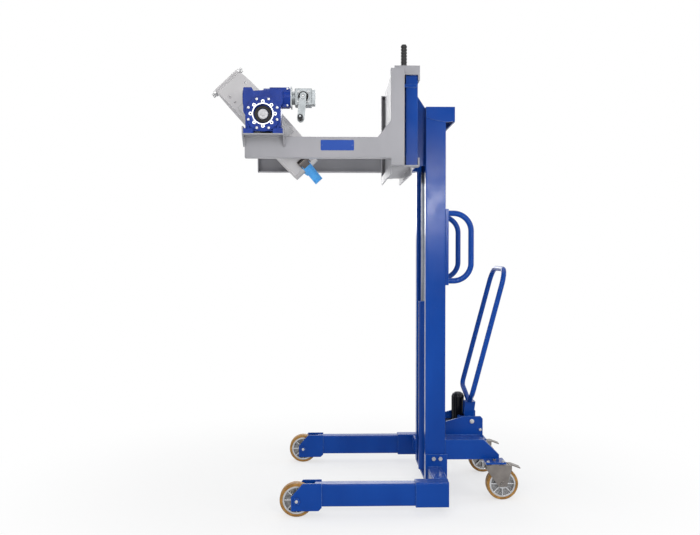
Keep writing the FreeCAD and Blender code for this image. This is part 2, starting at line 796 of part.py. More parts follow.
def tipping_frame():
    """Two channel arms on uprights, the hook-on back frame and the blocks that carry the pivot."""
    outline = plate("arm_outline", (
        ("arm_front", "arm_bottom"),
        ("frame_face", "arm_bottom"),
        ("frame_face", "upright_bottom"),
        ("upright_rear", "upright_bottom"),
        ("upright_rear", "upright_top"),
        ("frame_face", "upright_top"),
        ("frame_face", "arm_top + gusset_height"),
        ("frame_face - gusset_length", "arm_top"),
        ("arm_front", "arm_top"),
    ), "arm_width", "-arm_inner")
    outline = rounded(outline, "sheet_round", lies_at("y", -read("arm_outer")))
    depth = "arm_width - arm_wall + 1"
    hollow_y = "-arm_outer + arm_wall"
    arm_hollow = box("arm_hollow",
                     ("arm_reach + arm_nose - arm_wall - 2", depth, "arm_height - 2 * arm_wall"),
                     ("arm_front + arm_wall", hollow_y, "arm_bottom + arm_wall"))
    upright_hollow = box("upright_hollow", ("upright_depth - 2 * arm_wall", depth,
                                            "upright_top - upright_bottom - 2 * arm_wall"),
                         ("frame_face + arm_wall", hollow_y, "upright_bottom + arm_wall"))
    near = node("arm_near", cut("arm_near", outline, [arm_hollow, upright_hollow]))
    node("arm_far", mirror("arm_far", near))

    panel = box("back_panel", ("panel_wall", "2 * arm_inner", "carriage_top + hook_height - upright_bottom"),
                ("panel_x", "-arm_inner", "upright_bottom"))
    hook_length = "carriage_rear + hook_lip - panel_x"
    hook = box("hook_bar", (hook_length, "2 * arm_inner", "hook_height"),
               ("panel_x", "-arm_inner", "carriage_top"))
    lip = box("hook_rear_lip", ("hook_lip", "2 * arm_inner", "hook_drop + 2"),
              ("carriage_rear", "-arm_inner", "carriage_top - hook_drop"))
    rail_length = "carriage_front + bar_depth / 2 - frame_face"
    rail_foot = "carriage_bottom - lower_rail_height"
    rail = box("lower_rail", (rail_length, "2 * arm_inner", "lower_rail_height"),
               ("frame_face", "-arm_inner", rail_foot))
    rail_hollow = box("lower_rail_hollow", (rail_length + " - 2 * panel_wall", "2 * arm_inner + 2",
                                            "lower_rail_height - panel_wall"),
                      ("frame_face + panel_wall", "-arm_inner - 1", rail_foot + " - 1"))
    wings = box("panel_wings", ("panel_wall", "2 * (arm_outer - arm_wall)",
                                "upright_top - upright_bottom - 2 * arm_wall"),
                ("panel_x", "-arm_outer + arm_wall", "upright_bottom + arm_wall"))
    hook_hollow = box("hook_hollow", ("carriage_rear - hook_seat - panel_x - panel_wall",
                                      "2 * (arm_inner - panel_wall)", "hook_height - panel_wall + 1"),
                      ("panel_x + panel_wall", "-arm_inner + panel_wall", "carriage_top - 1"))
    pieces = [panel, wings, cut("hook_channel", hook, [hook_hollow]), lip,
              cut("lower_channel", rail, [rail_hollow])]
    for side, y in (("near", "-arm_inner"), ("far", "arm_inner - clip_width")):
        pieces.append(box("clip_plate_" + side, (
            "bar_depth / 2 + seat_clearance + clip_wall + 2", "clip_width", "clip_wall"), (
                "carriage_rear - bar_depth / 2 - 2", y, "carriage_bottom - seat_clearance - clip_wall")))
        pieces.append(box("clip_lip_" + side, ("clip_wall", "clip_width", "clip_wall + clip_rise"), (
            "carriage_rear + seat_clearance", y, "carriage_bottom - seat_clearance - clip_wall")))
    holes = [cylinder(f"lock_hole_{side + 1}", "lock_pin_radius + running_clearance", "hook_height + 2",
                      ("lock_pin_x", f"{side} * lock_pin_y", "carriage_top - 1")) for side in (-1, 1)]
    node("hook_frame", cut("hook_frame", fuse("hook_frame_weld", pieces), holes))

    plinth_end = "gear_length / 2 + seat_clearance + plinth_wall"
    plinth = box("plinth_plate", (f"2 * ({plinth_end})", "gear_outer - arm_inner", "plinth_wall"),
                 (f"pivot_x - ({plinth_end})", "-gear_outer", "arm_top"))
    pieces = [plinth]
    for index, x in enumerate((f"pivot_x - ({plinth_end})", f"pivot_x + {plinth_end} - plinth_wall")):
        pieces.append(box(f"plinth_tab_{index}", ("plinth_wall", "gear_width / 2", "plinth_tab"),
                          (x, "-gear_outer", "arm_top")))
        body = doc.addObject("PartDesign::Body", f"plinth_gusset_{index}")
        sketch = sketch_on(body, "YZ_Plane", (
            ("-arm_outer", "arm_top"),
            ("-gear_outer + 4", "arm_top"),
            ("-arm_outer", "arm_top - plinth_gusset"),
        ))
        pad = body.newObject("PartDesign::Pad", f"plinth_gusset_{index}_pad")
        pad.Profile = sketch
        pad.setExpression("Length", bind("plinth_wall"))
        pieces.append(move(body, (x, "0", "0")))
    node("gearbox_plinth", fuse("gearbox_plinth", pieces))

    shaft_hole = ("pivot_x", "pivot_height", "far_shaft_radius + running_clearance")
    block = plate("bearing_block", (
        ("pivot_x - 70", "arm_top"),
        ("pivot_x + 70", "arm_top"),
        ("pivot_x + 70", "arm_top + 18"),
        ("pivot_x + 46", "pivot_height - 10"),
        ("pivot_x + 36", "pivot_height + 34"),
        ("pivot_x + 16", "pivot_height + 50"),
        ("pivot_x - 16", "pivot_height + 50"),
        ("pivot_x - 36", "pivot_height + 34"),
        ("pivot_x - 46", "pivot_height - 10"),
        ("pivot_x - 70", "arm_top + 18"),
    ), "arm_width - 8", "arm_outer - 4", [shaft_hole])
    node("far_bearing", block)

    for side, sign in (("near", -1), ("far", 1)):
        profile = [("0", "carriage_top - 70"), ("lock_pin_radius", "carriage_top - 70"),
                   ("lock_pin_radius", "carriage_top + hook_height + seat_clearance")]
        ribs = 7
        for i in range(ribs):
            low = f"carriage_top + hook_height + seat_clearance + lock_grip_length * {i} / {ribs}"
            profile.append(("lock_grip_radius", low))
            profile.append(("lock_grip_radius", f"{low} + lock_grip_length * 0.62 / {ribs}"))
            profile.append(("lock_grip_radius - 3", f"{low} + lock_grip_length * 0.7 / {ribs}"))
            profile.append(("lock_grip_radius - 3", f"{low} + lock_grip_length * 0.95 / {ribs}"))
        top = "carriage_top + hook_height + seat_clearance + lock_grip_length"
        profile.append(("lock_grip_radius - 4", top))
        profile.append(("0", top))
        pin = turned("lock_pin_" + side, profile, ("lock_pin_x", f"{sign} * lock_pin_y", "0"))
        node("lock_pin_" + side, pin)


def gearbox():
    """Cast worm housing on feet, with the round bolted cover, and the bevel box on its worm end."""
    half = "gear_length / 2"
    core = plate("gear_core", (
        (f"pivot_x - {half} + gear_wall_inset", "arm_top + plinth_wall + gear_arch"),
        (f"pivot_x + {half} - gear_wall_inset", "arm_top + plinth_wall + gear_arch"),
        (f"pivot_x + {half} - gear_wall_inset", "worm_z - worm_radius"),
        (f"pivot_x + {half}", "worm_z - worm_radius + 12"),
        (f"pivot_x + {half}", "pivot_height + gear_crown - 8"),
        (f"pivot_x + {half} - 40", "pivot_height + gear_crown - 8"),
        (f"pivot_x - {half} + 46", "pivot_height + gear_crown - 16"),
        (f"pivot_x - {half} + 38", "pivot_height + gear_crown"),
        (f"pivot_x - {half}", "pivot_height + gear_crown"),
        (f"pivot_x - {half}", "pivot_height + 10"),
        (f"pivot_x - {half} + gear_wall_inset", "pivot_height - 6"),
    ), "gear_width - 2 * gear_wall_inset", "-gear_inner - gear_wall_inset")
    pieces = [rounded(core, "cast_round", runs_along("y"))]
    foot_x = {"front": f"pivot_x - {half}", "rear": f"pivot_x + {half} - gear_foot_length"}
    for end, x in foot_x.items():
        pieces.append(box("gear_foot_" + end, ("gear_foot_length", "gear_width", "gear_foot_thickness"),
                          (x, "-gear_outer", "arm_top + plinth_wall")))
        rows = {"outer": "-gear_outer + foot_bolt_radius", "inner": "-gear_inner - foot_bolt_radius"}
        for row, y in rows.items():
            pieces.append(hexagon(f"gear_foot_bolt_{end}_{row}", "foot_bolt_radius", "8",
                                  (f"{x} + gear_foot_length / 2", y,
                                   "arm_top + plinth_wall + gear_foot_thickness - 1")))
    for face, y in (("outer", "-gear_outer"), ("inner", "-gear_inner - gear_wall_inset")):
        pieces.append(cylinder("gear_cover_" + face, "cover_radius", "gear_wall_inset",
                               ("pivot_x", y, "pivot_height"), "y"))
    pieces.append(cylinder("gear_ring", "ring_radius", "ring_height + 1",
                           ("pivot_x", "-gear_outer - ring_height", "pivot_height"), "y"))
    for i in range(8):
        angle = math.radians(45 * i)
        pieces.append(cylinder(f"gear_lug_{i}", "lug_radius", "ring_height + 1", (
            f"pivot_x + lug_circle * {math.cos(angle):.6f}", "-gear_outer - ring_height",
            f"pivot_height + lug_circle * {math.sin(angle):.6f}"), "y"))
        angle += math.radians(22.5)
        pieces.append(cylinder(f"gear_screw_{i}", "cover_screw_radius", "cover_height + 1", (
            f"pivot_x + cover_screw_circle * {math.cos(angle):.6f}", "-gear_outer - cover_height",
            f"pivot_height + cover_screw_circle * {math.sin(angle):.6f}"), "y"))
    pieces.append(cylinder("gear_neck", "worm_radius", f"{half} + neck_length",
                           ("pivot_x", "-gear_middle", "worm_z"), "x"))
    pieces.append(cylinder("gear_end_cover", "worm_radius - 8", "8",
                           (f"pivot_x - {half} - 5", "-gear_middle", "worm_z"), "x"))
    for i, lift in enumerate((-0.5, 0.5)):
        pieces.append(box(f"gear_rib_{i}", (half, "8", "2 * worm_radius"),
                          ("pivot_x + neck_length - 6", f"-gear_middle - 4 + {lift} * 50",
                           "worm_z - worm_radius")))
    tools = [
        cylinder("gear_bore", "shaft_radius + running_clearance", "gear_width + 20",
                 ("pivot_x", "-gear_outer - 10", "pivot_height"), "y"),
        cylinder("gear_seal_recess", "seal_radius", "seal_depth + ring_height + 1",
                 ("pivot_x", "-gear_outer - ring_height - 1", "pivot_height"), "y"),
    ]
    for i in range(8):
        angle = math.radians(45 * i)
        tools.append(cylinder(f"gear_lug_hole_{i}", "lug_bore", "16", (
            f"pivot_x + lug_circle * {math.cos(angle):.6f}", "-gear_outer - ring_height - 1",
            f"pivot_height + lug_circle * {math.sin(angle):.6f}"), "y"))
    node("gearbox_housing", cut("gearbox_housing", fuse("gearbox_cast", pieces), tools))

    size = "bevel_size"
    cube = box("bevel_cube", (size, size, size),
               (f"bevel_x - {size} / 2", "-bevel_face", f"worm_z - {size} / 2"))
    cube = rounded(cube, "sheet_round", lambda edge: True)
    flange = box("bevel_flange_plate", ("6", "88", "88"),
                 (f"pivot_x + {half} + neck_length", "-gear_middle - 44", "worm_z - 44"))
    throat = cylinder("bevel_throat", "30", f"bevel_offset - {size} / 2 - {half} - neck_length - 4",
                      (f"pivot_x + {half} + neck_length + 5", "-gear_middle", "worm_z"), "x")
    end = box("bevel_end_plate", ("bevel_flange", "64", "64"),
              (f"bevel_x + {size} / 2 - 1", "-gear_middle - 32", "worm_z - 32"))
    boss = cylinder("bevel_boss", "bevel_boss_radius", "bevel_boss_height + 1",
                    ("bevel_x", "-bevel_face - bevel_boss_height", "worm_z"), "y")
    tools = [
        cylinder("bevel_bore", "crank_shaft_radius + running_clearance", f"{size} / 2 + 20",
                 ("bevel_x", "-bevel_face - 20", "worm_z"), "y"),
        cut("bevel_recess", cylinder("bevel_recess_outer", "bevel_recess_radius", "bevel_recess_depth + 1", (
            "bevel_x", "-bevel_face - bevel_boss_height - 1", "worm_z"), "y"), [
                cylinder("bevel_recess_inner", "crank_hub_radius", "bevel_recess_depth + 3", (
                    "bevel_x", "-bevel_face - bevel_boss_height - 2", "worm_z"), "y")]),
    ]
    for i, (across, up) in enumerate(((-1, -1), (1, -1), (-1, 1), (1, 1))):
        tools.append(cylinder(f"bevel_bolt_bore_{i}", "bevel_bolt_bore", "14", (
            f"bevel_x + {across} * bevel_bolt_spacing / 2", "-bevel_face - 1",
            f"worm_z + {up} * bevel_bolt_spacing / 2"), "y"))
    node("bevel_gearbox", cut("bevel_gearbox", fuse("bevel_cast", [cube, flange, throat, end, boss]), tools))


def crank():
    """Crank arm keyed to the bevel box shaft, and the free-turning grip on its pin."""
    hub = cylinder("crank_hub", "crank_hub_radius", "crank_hub_length",
                   ("0", "-crank_face - crank_hub_length", "0"), "y")
    shaft = cylinder("crank_shaft", "crank_shaft_radius", "bevel_size / 2 + 6",
                     ("0", "-crank_face - 1", "0"), "y")
    arm_face = "-crank_face - crank_hub_length + crank_hub_lip"
    arm = plate("crank_bar", (
        ("-crank_hub_radius + 2", "0"),
        ("-crank_width / 2", "-crank_neck"),
        ("-crank_width / 2", "-crank_length"),
        ("crank_width / 2", "-crank_length"),
        ("crank_width / 2", "-crank_neck"),
        ("crank_hub_radius - 2", "0"),
    ), "crank_wall", f"{arm_face} + crank_wall")
    end = cylinder("crank_end", "crank_width / 2", "crank_wall", ("0", arm_face, "-crank_length"), "y")
    socket = cylinder("crank_socket", "crank_socket_radius", "crank_hub_lip + 4",
                      ("0", "-crank_face - crank_hub_length - 1", "0"), "y")
    pin = cylinder("grip_pin", "grip_pin_radius", "grip_length + 2",
                   ("0", f"{arm_face} - grip_length", "-crank_length"), "y")
    arm_piece = node("crank", cut("crank", fuse("crank_forged", [hub, shaft, arm, end, pin]), [socket]))
    grip = turned("crank_grip", (
        ("grip_pin_radius + running_clearance", "0"),
        ("grip_radius - 3", "0"),
        ("grip_radius", "10"),
        ("grip_radius", "grip_length - 14"),
        ("grip_radius - 4", "grip_length - 3"),
        ("grip_pin_radius + running_clearance", "grip_length - 3"),
    ), ("0", f"{arm_face} - 0.5", "-crank_length"))
    grip.Placement = Placement(Vector(), Rotation(Vector(1, 0, 0), 90))
    move(grip, ("0", f"{arm_face} - 0.5", "-crank_length"))
    grip_piece = node("crank_grip", group("crank_grip_set", [grip]))
    for piece in (arm_piece, grip_piece):
        piece.Placement = Placement(Vector(), Rotation(Vector(0, 1, 0), read("crank_lean")))
        move(piece, ("bevel_x", "0", "worm_z"))


def radial_hole(name, angle, height, size):
    """A hole through the saddle wall, pointing at the drum's axis; size is across and along the axis."""
    tool = doc.addObject("Part::Box", name)
    tool.setExpression("Length", bind("saddle_wall * 6"))
    tool.setExpression("Width", bind(size[0]))
    tool.setExpression("Height", bind(size[1]))
    turn = Rotation(Vector(0, 0, 1), angle)
    reach = read("saddle_radius") - 2 * read("saddle_wall")
    tool.Placement = Placement(turn.multVec(Vector(reach, -tool.Width.Value / 2, 0)), turn)
    tool.setExpression("Placement.Base.z", bind(f"{height} - ({size[1]}) / 2"))
    return tool


def cradle():
    """Two rolled half bands round the drum, joined behind by a rail, hung on the two pivot shafts."""
    front = -read("plate_front_angle")
    sweep = "plate_front_angle - plate_rear_angle"
    band = sector("saddle_band", "saddle_outer", "saddle_radius", "saddle_height", front, sweep)
    doc.recompute()
    holes = []
    for sign in (-1, 1):
        height = f"{sign} * slot_offset"
        holes.append(radial_hole(f"band_slot_{sign + 1}", -49, height, ("slot_length", "slot_width")))
        holes.append(radial_hole(f"band_hole_{sign + 1}", -58, height, ("slot_width", "slot_width")))
        square = ("slot_width + 5", "slot_width + 5")
        holes.append(radial_hole(f"band_square_{sign + 1}", -66, height, square))
    near = cut("saddle_plate_near_upright", band, holes)
    far = mirror("saddle_plate_far_upright", near)
    node("saddle_plate_near", on_cradle(group("saddle_plate_near", [near])))
    node("saddle_plate_far", on_cradle(group("saddle_plate_far", [far])))

    rail = box("rear_rail", ("rear_rail_depth", "rear_rail_width", "saddle_height"),
               ("saddle_outer + 0.2", "-rear_rail_width / 2", "-saddle_height / 2"))
    key_sweep = "2 * (plate_rear_angle - 1)"
    key = sector("rear_key", "saddle_outer + 0.4", "saddle_radius", "saddle_height",
                 -(read("plate_rear_angle") - 1), key_sweep)
    lap_start = -(read("plate_rear_angle") + read("rear_lap_angle"))
    lap = sector("rear_lap", "saddle_outer + 0.1 + rear_lap_wall", "saddle_outer + 0.1", "saddle_height",
                 lap_start, "2 * (plate_rear_angle + rear_lap_angle)")
    radius_x = "saddle_outer + rear_rail_depth / 2"
    bores = []
    for sign in (-1, 1):
        foot = (radius_x, f"{sign} * stud_offset", "-saddle_height / 2 - 1")
        bores.append(cylinder(f"stud_bore_{sign + 1}", "stud_radius + running_clearance",
                              "saddle_height + 2", foot))
    rear = cut("rear_rail_bored", fuse("rear_rail_weld", [rail, key, lap]), bores)
    node("rear_rail", on_cradle(group("rear_rail_set", [rear])))

    studs = []
    for sign in (-1, 1):
        across = f"{sign} * stud_offset"
        bar = cylinder(f"stud_{sign + 1}", "stud_radius", "stud_length",
                       (radius_x, across, "-stud_length / 2"))
        nuts = [hexagon(f"stud_nut_{sign + 1}_{end}", "stud_radius + 5", "9",
                         (radius_x, across, "saddle_height / 2 + seat_clearance" if end else
                          "-saddle_height / 2 - seat_clearance - 9")) for end in (0, 1)]
        studs.append(fuse(f"stud_set_{sign + 1}", [bar, *nuts]))
        face = "saddle_outer + rear_rail_depth + 0.2"
        studs.append(hexagon(f"rail_screw_{sign + 1}", "stud_radius + 2", "10",
                              (face, "0", f"{sign} * slot_offset"), "x"))
    node("rear_studs", on_cradle(group("rear_studs", studs)))

    reach = {"near": "gear_outer - seal_depth + 6 - doubler_outer", "far": "arm_outer + 6 - doubler_outer"}
    for side, sign, radius in (("near", -1, "shaft_radius"), ("far", 1, "far_shaft_radius")):
        length = reach[side]
        start = sign * 90 - read("doubler_angle") / 2
        pad = sector("pivot_pad_" + side, "doubler_outer", "doubler_inner", "doubler_height",
                     start, "doubler_angle")
        boss_start = "-boss_face" if sign < 0 else "doubler_outer - 4"
        boss = cylinder("pivot_boss_" + side, "boss_radius", "boss_length + 4", ("0", boss_start, "0"), "y")
        shaft_start = f"-doubler_outer - ({length})" if sign < 0 else "doubler_outer - 2"
        bar = cylinder("pivot_bar_" + side, radius, f"{length} + 2", ("0", shaft_start, "0"), "y")
        pieces = [pad, boss, bar]
        if sign < 0:
            head = f"-doubler_outer - ({length})"
            pieces.append(cylinder("pivot_washer", "shaft_radius - 2", "4", ("0", head + " - 3", "0"), "y"))
            pieces.append(hexagon("pivot_screw", "9", "7", ("0", head + " - 8", "0"), "y"))
        node("pivot_shaft_" + side, on_cradle(fuse("pivot_shaft_" + side, pieces)))


def on_strap_side(piece, angle, at):
    """Stand a piece on the saddle: x outwards from the drum, y round it, z along its axis."""
    turn = Rotation(Vector(0, 0, 1), angle)
    foot = Vector(*at)
    piece.Placement = Placement(turn.multVec(foot), turn)
    return piece


def plain_box(name, size):
    piece = doc.addObject("Part::Box", name)
    for side, text in zip(("Length", "Width", "Height"), size):
        piece.setExpression(side, bind(text))
    return piece


def strap():
    """Webbing across the drum's open front, its buckle on the near plate and the buckle's lever."""
    buckle_at = -(read("plate_front_angle") - read("buckle_angle"))
    outer = read("saddle_outer")
    half = math.degrees(math.atan2(read("buckle_length") / 2, outer))
    band_start = read("plate_front_angle") - 6
    band_end = 360 + buckle_at - half - 0.2
    band = sector("strap_arc", "saddle_outer + seat_clearance + strap_wall", "saddle_outer + seat_clearance",
                  "strap_width", band_start, str(band_end - band_start))
    tail = plain_box("strap_tail_flat", ("strap_wall", "strap_tail", "strap_width"))
    tail_at = buckle_at - half - 1.5
    turn = Rotation(Vector(0, 0, 1), tail_at)
    lift = outer + read("seat_clearance") + 2 * read("strap_wall") - 0.5
    foot = turn.multVec(Vector(lift, 0, -read("strap_width") / 2))
    tail.Placement = Placement(foot, turn.multiply(Rotation(Vector(0, 0, 1), 180)))
    node("strap", on_cradle(fuse("strap", [band, tail])))

    width = read("strap_width") + 2
    wall = read("buckle_wall")
    length = read("buckle_length")
    base = plain_box("buckle_base", ("3", "buckle_length", "strap_width + 2 + 2 * buckle_wall"))
    on_strap_side(base, buckle_at, (outer + 0.05, -length / 2, -width / 2 - wall))
    pieces = [base]
    for i, z in enumerate((-width / 2 - wall, width / 2)):
        cheek = plain_box(f"buckle_cheek_{i}", ("buckle_height", "buckle_length", "buckle_wall"))
        pieces.append(on_strap_side(cheek, buckle_at, (outer + 0.05, -length / 2, z)))
    pin = doc.addObject("Part::Cylinder", "buckle_pin")
    pin.setExpression("Radius", bind("buckle_pin_radius"))
    pin.setExpression("Height", bind("strap_width + 2 + 2 * buckle_wall"))
    hinge = outer + read("buckle_height") - read("buckle_pin_radius") - 2
    pieces.append(on_strap_side(pin, buckle_at, (hinge, length / 2 - 10, -width / 2 - wall)))
    node("strap_buckle", on_cradle(fuse("strap_buckle", pieces)))

    barrel = doc.addObject("Part::Cylinder", "buckle_barrel")
    barrel.setExpression("Radius", bind("buckle_pin_radius + 3"))
    barrel.setExpression("Height", bind("strap_width"))
    on_strap_side(barrel, buckle_at, (hinge, length / 2 - 10, -width / 2 + 1))
    blade = plain_box("buckle_blade", ("3", "buckle_lever_length", "strap_width - 6"))
    blade_foot = length / 2 - 10 - read("buckle_lever_length")
    on_strap_side(blade, buckle_at, (hinge + 3.5, blade_foot, -width / 2 + 4))
    bore = doc.addObject("Part::Cylinder", "buckle_barrel_bore")
    bore.setExpression("Radius", bind("buckle_pin_radius + running_clearance"))
    bore.setExpression("Height", bind("strap_width + 2"))
    on_strap_side(bore, buckle_at, (hinge, length / 2 - 10, -width / 2))
    lever = cut("buckle_lever_upright", fuse("buckle_lever_weld", [barrel, blade]), [bore])
    node("buckle_lever", on_cradle(group("buckle_lever", [lever])))


def legs():
    """Straddle legs with their wheel forks, the outriggers that hold them and the wheels."""
    tube = box("leg_tube", ("leg_rear - leg_front", "leg_width", "leg_height"),
               ("leg_front", "-leg_outer", "leg_bottom"))
    bore = box("leg_tube_bore", ("leg_rear - leg_front - leg_wall", "leg_width - 2 * leg_wall",
                                 "leg_height - 2 * leg_wall"),
               ("leg_front + leg_wall", "-leg_outer + leg_wall", "leg_bottom + leg_wall"))
    tube = rounded(tube, "tube_round", runs_along("x"))
    pieces = [cut("leg_hollow", tube, [bore])]
    for side, y in (("outer", "-leg_outer + 0.01"), ("inner", "-leg_inner + fork_wall - 0.01")):
        pieces.append(plate("fork_cheek_" + side, (
            ("wheel_x - 24", "leg_bottom - 16"),
            ("leg_front + fork_tail - 14", "leg_bottom - 16"),
            ("leg_front + fork_tail", "leg_bottom - 2"),
            ("leg_front + fork_tail", "leg_top + 5"),
            ("wheel_x + 28", "leg_top + 5"),
            ("wheel_x - 24", "leg_bottom + 46"),
        ), "fork_wall", y, [("wheel_x", "wheel_radius", "axle_radius + running_clearance")]))
    near = node("leg_near", fuse("leg_near", pieces))
    node("leg_far", mirror("leg_far", near))

    sleeve = box("sleeve_block", ("sleeve_length", "leg_width + 2 * (sleeve_wall + 0.1)",
                                  "leg_height + 2 * (sleeve_wall + 0.1)"),
                 ("leg_rear - sleeve_length", "-leg_outer - sleeve_wall - 0.1",
                  "leg_bottom - sleeve_wall - 0.1"))
    passage = box("sleeve_passage", ("sleeve_length + 2", "leg_width + 0.2", "leg_height + 0.2"),
                  ("leg_rear - sleeve_length - 1", "-leg_outer - 0.1", "leg_bottom - 0.1"))
    beam = box("outrigger_beam",
               ("outrigger_width", "leg_inner - mast_half_width - sleeve_wall + 2", "outrigger_height"),
               ("mast_front + 8", "-leg_inner + sleeve_wall - 2", "leg_top - outrigger_height + 4"))
    flange = box("outrigger_flange_plate", ("column_depth + 8", "outrigger_flange",
                                            "outrigger_height + outrigger_flange_height"),
                 ("mast_front", "-mast_half_width - outrigger_flange", "leg_top - outrigger_height + 4"))
    sleeve = rounded(sleeve, "tube_round", runs_along("x"))
    beam = rounded(beam, "tube_round", runs_along("y"))
    tools = [passage, *bolt_holes("outrigger")]
    weld = fuse("outrigger_weld", [sleeve, beam, flange])
    near = node("outrigger_near", cut("outrigger_near", weld, tools))
    node("outrigger_far", mirror("outrigger_far", near))

    bolts = []
    for i in range(2):
        x = f"frame_bolt_x + {i} * frame_bolt_spacing"
        face = "-mast_half_width - outrigger_flange"
        shank = cylinder(f"frame_bolt_shank_{i}", "frame_bolt_radius", "outrigger_flange + web_wall + 14",
                         (x, face, "frame_bolt_z"), "y")
        head = hexagon(f"frame_bolt_top_{i}", "frame_bolt_head", "8",
                       (x, face + " - 8", "frame_bolt_z"), "y")
        nut = hexagon(f"frame_bolt_nut_{i}", "frame_bolt_head", "9",
                      (x, "-mast_half_width + web_wall", "frame_bolt_z"), "y")
        bolts.append(fuse(f"frame_bolt_{i}", [shank, head, nut]))
    near_bolts = group("frame_bolts_near", bolts)
    node("frame_bolts", group("frame_bolts", [near_bolts, mirror("frame_bolts_far", near_bolts)]))

    axles = []
    for side, sign in (("near", -1), ("far", 1)):
        start = f"{sign} * leg_spacing - leg_width / 2 - fork_wall - 6"
        bar = cylinder("axle_bar_" + side, "axle_radius", "leg_width + 2 * fork_wall + 12",
                       ("wheel_x", start, "wheel_radius"), "y")
        ends = (f"{start} - 1", f"{start} + leg_width + 2 * fork_wall + 6")
        heads = [hexagon(f"axle_head_{side}_{i}", "axle_radius + 6", "7",
                         ("wheel_x", end, "wheel_radius"), "y")
                 for i, end in enumerate(ends)]
        axles.append(fuse("axle_" + side, [bar, *heads]))
        wheel("front", side, ("wheel_x", f"{sign} * leg_spacing", "wheel_radius"))
    node("front_axles", group("front_axles", axles))


def wheel(kind, side, at):
    """A cast core with radial ribs and a bonded tread."""
    bore = "axle_radius + running_clearance"
    core = turned(f"{kind}_core_{side}_turned", (
        (bore, "-hub_length / 2"),
        ("hub_radius", "-hub_length / 2"),
        ("hub_radius", "-4"),
        ("core_radius - 8", "-4"),
        ("core_radius - 8", "-wheel_width / 2 + 2"),
        ("core_radius", "-wheel_width / 2 + 2"),
        ("core_radius", "wheel_width / 2 - 2"),
        ("core_radius - 8", "wheel_width / 2 - 2"),
        ("core_radius - 8", "4"),
        ("hub_radius", "4"),
        ("hub_radius", "hub_length / 2"),
        (bore, "hub_length / 2"),
    ), ("0", "0", "0"))
    ribs = []
    count = 8
    for i in range(count):
        rib = doc.addObject("Part::Box", f"{kind}_rib_{side}_{i}")
        rib.setExpression("Length", bind("core_radius - 6 - hub_radius + 4"))
        rib.setExpression("Width", bind("rib_wall"))
        rib.setExpression("Height", bind("2 * rib_height"))
        turn = Rotation(Vector(0, 0, 1), 360 * i / count)
        foot = Vector(read("hub_radius") - 2, -read("rib_wall") / 2, -read("rib_height"))
        rib.Placement = Placement(turn.multVec(foot), turn)
        ribs.append(rib)
    hub = fuse(f"{kind}_core_{side}", [core, *ribs])
    hub.Placement = Placement(Vector(), ALONG["y"])
    node(f"{kind}_core_{side}", move(hub, at))
    node(f"{kind}_tyre_{side}", turned(f"{kind}_tyre_{side}", (
        ("core_radius + 0.02", "-wheel_width / 2"),
        ("wheel_radius - 4", "-wheel_width / 2"),
        ("wheel_radius", "-wheel_width / 2 + 6"),
        ("wheel_radius", "wheel_width / 2 - 6"),
        ("wheel_radius - 4", "wheel_width / 2"),
        ("core_radius + 0.02", "wheel_width / 2"),
    ), at, "y"))


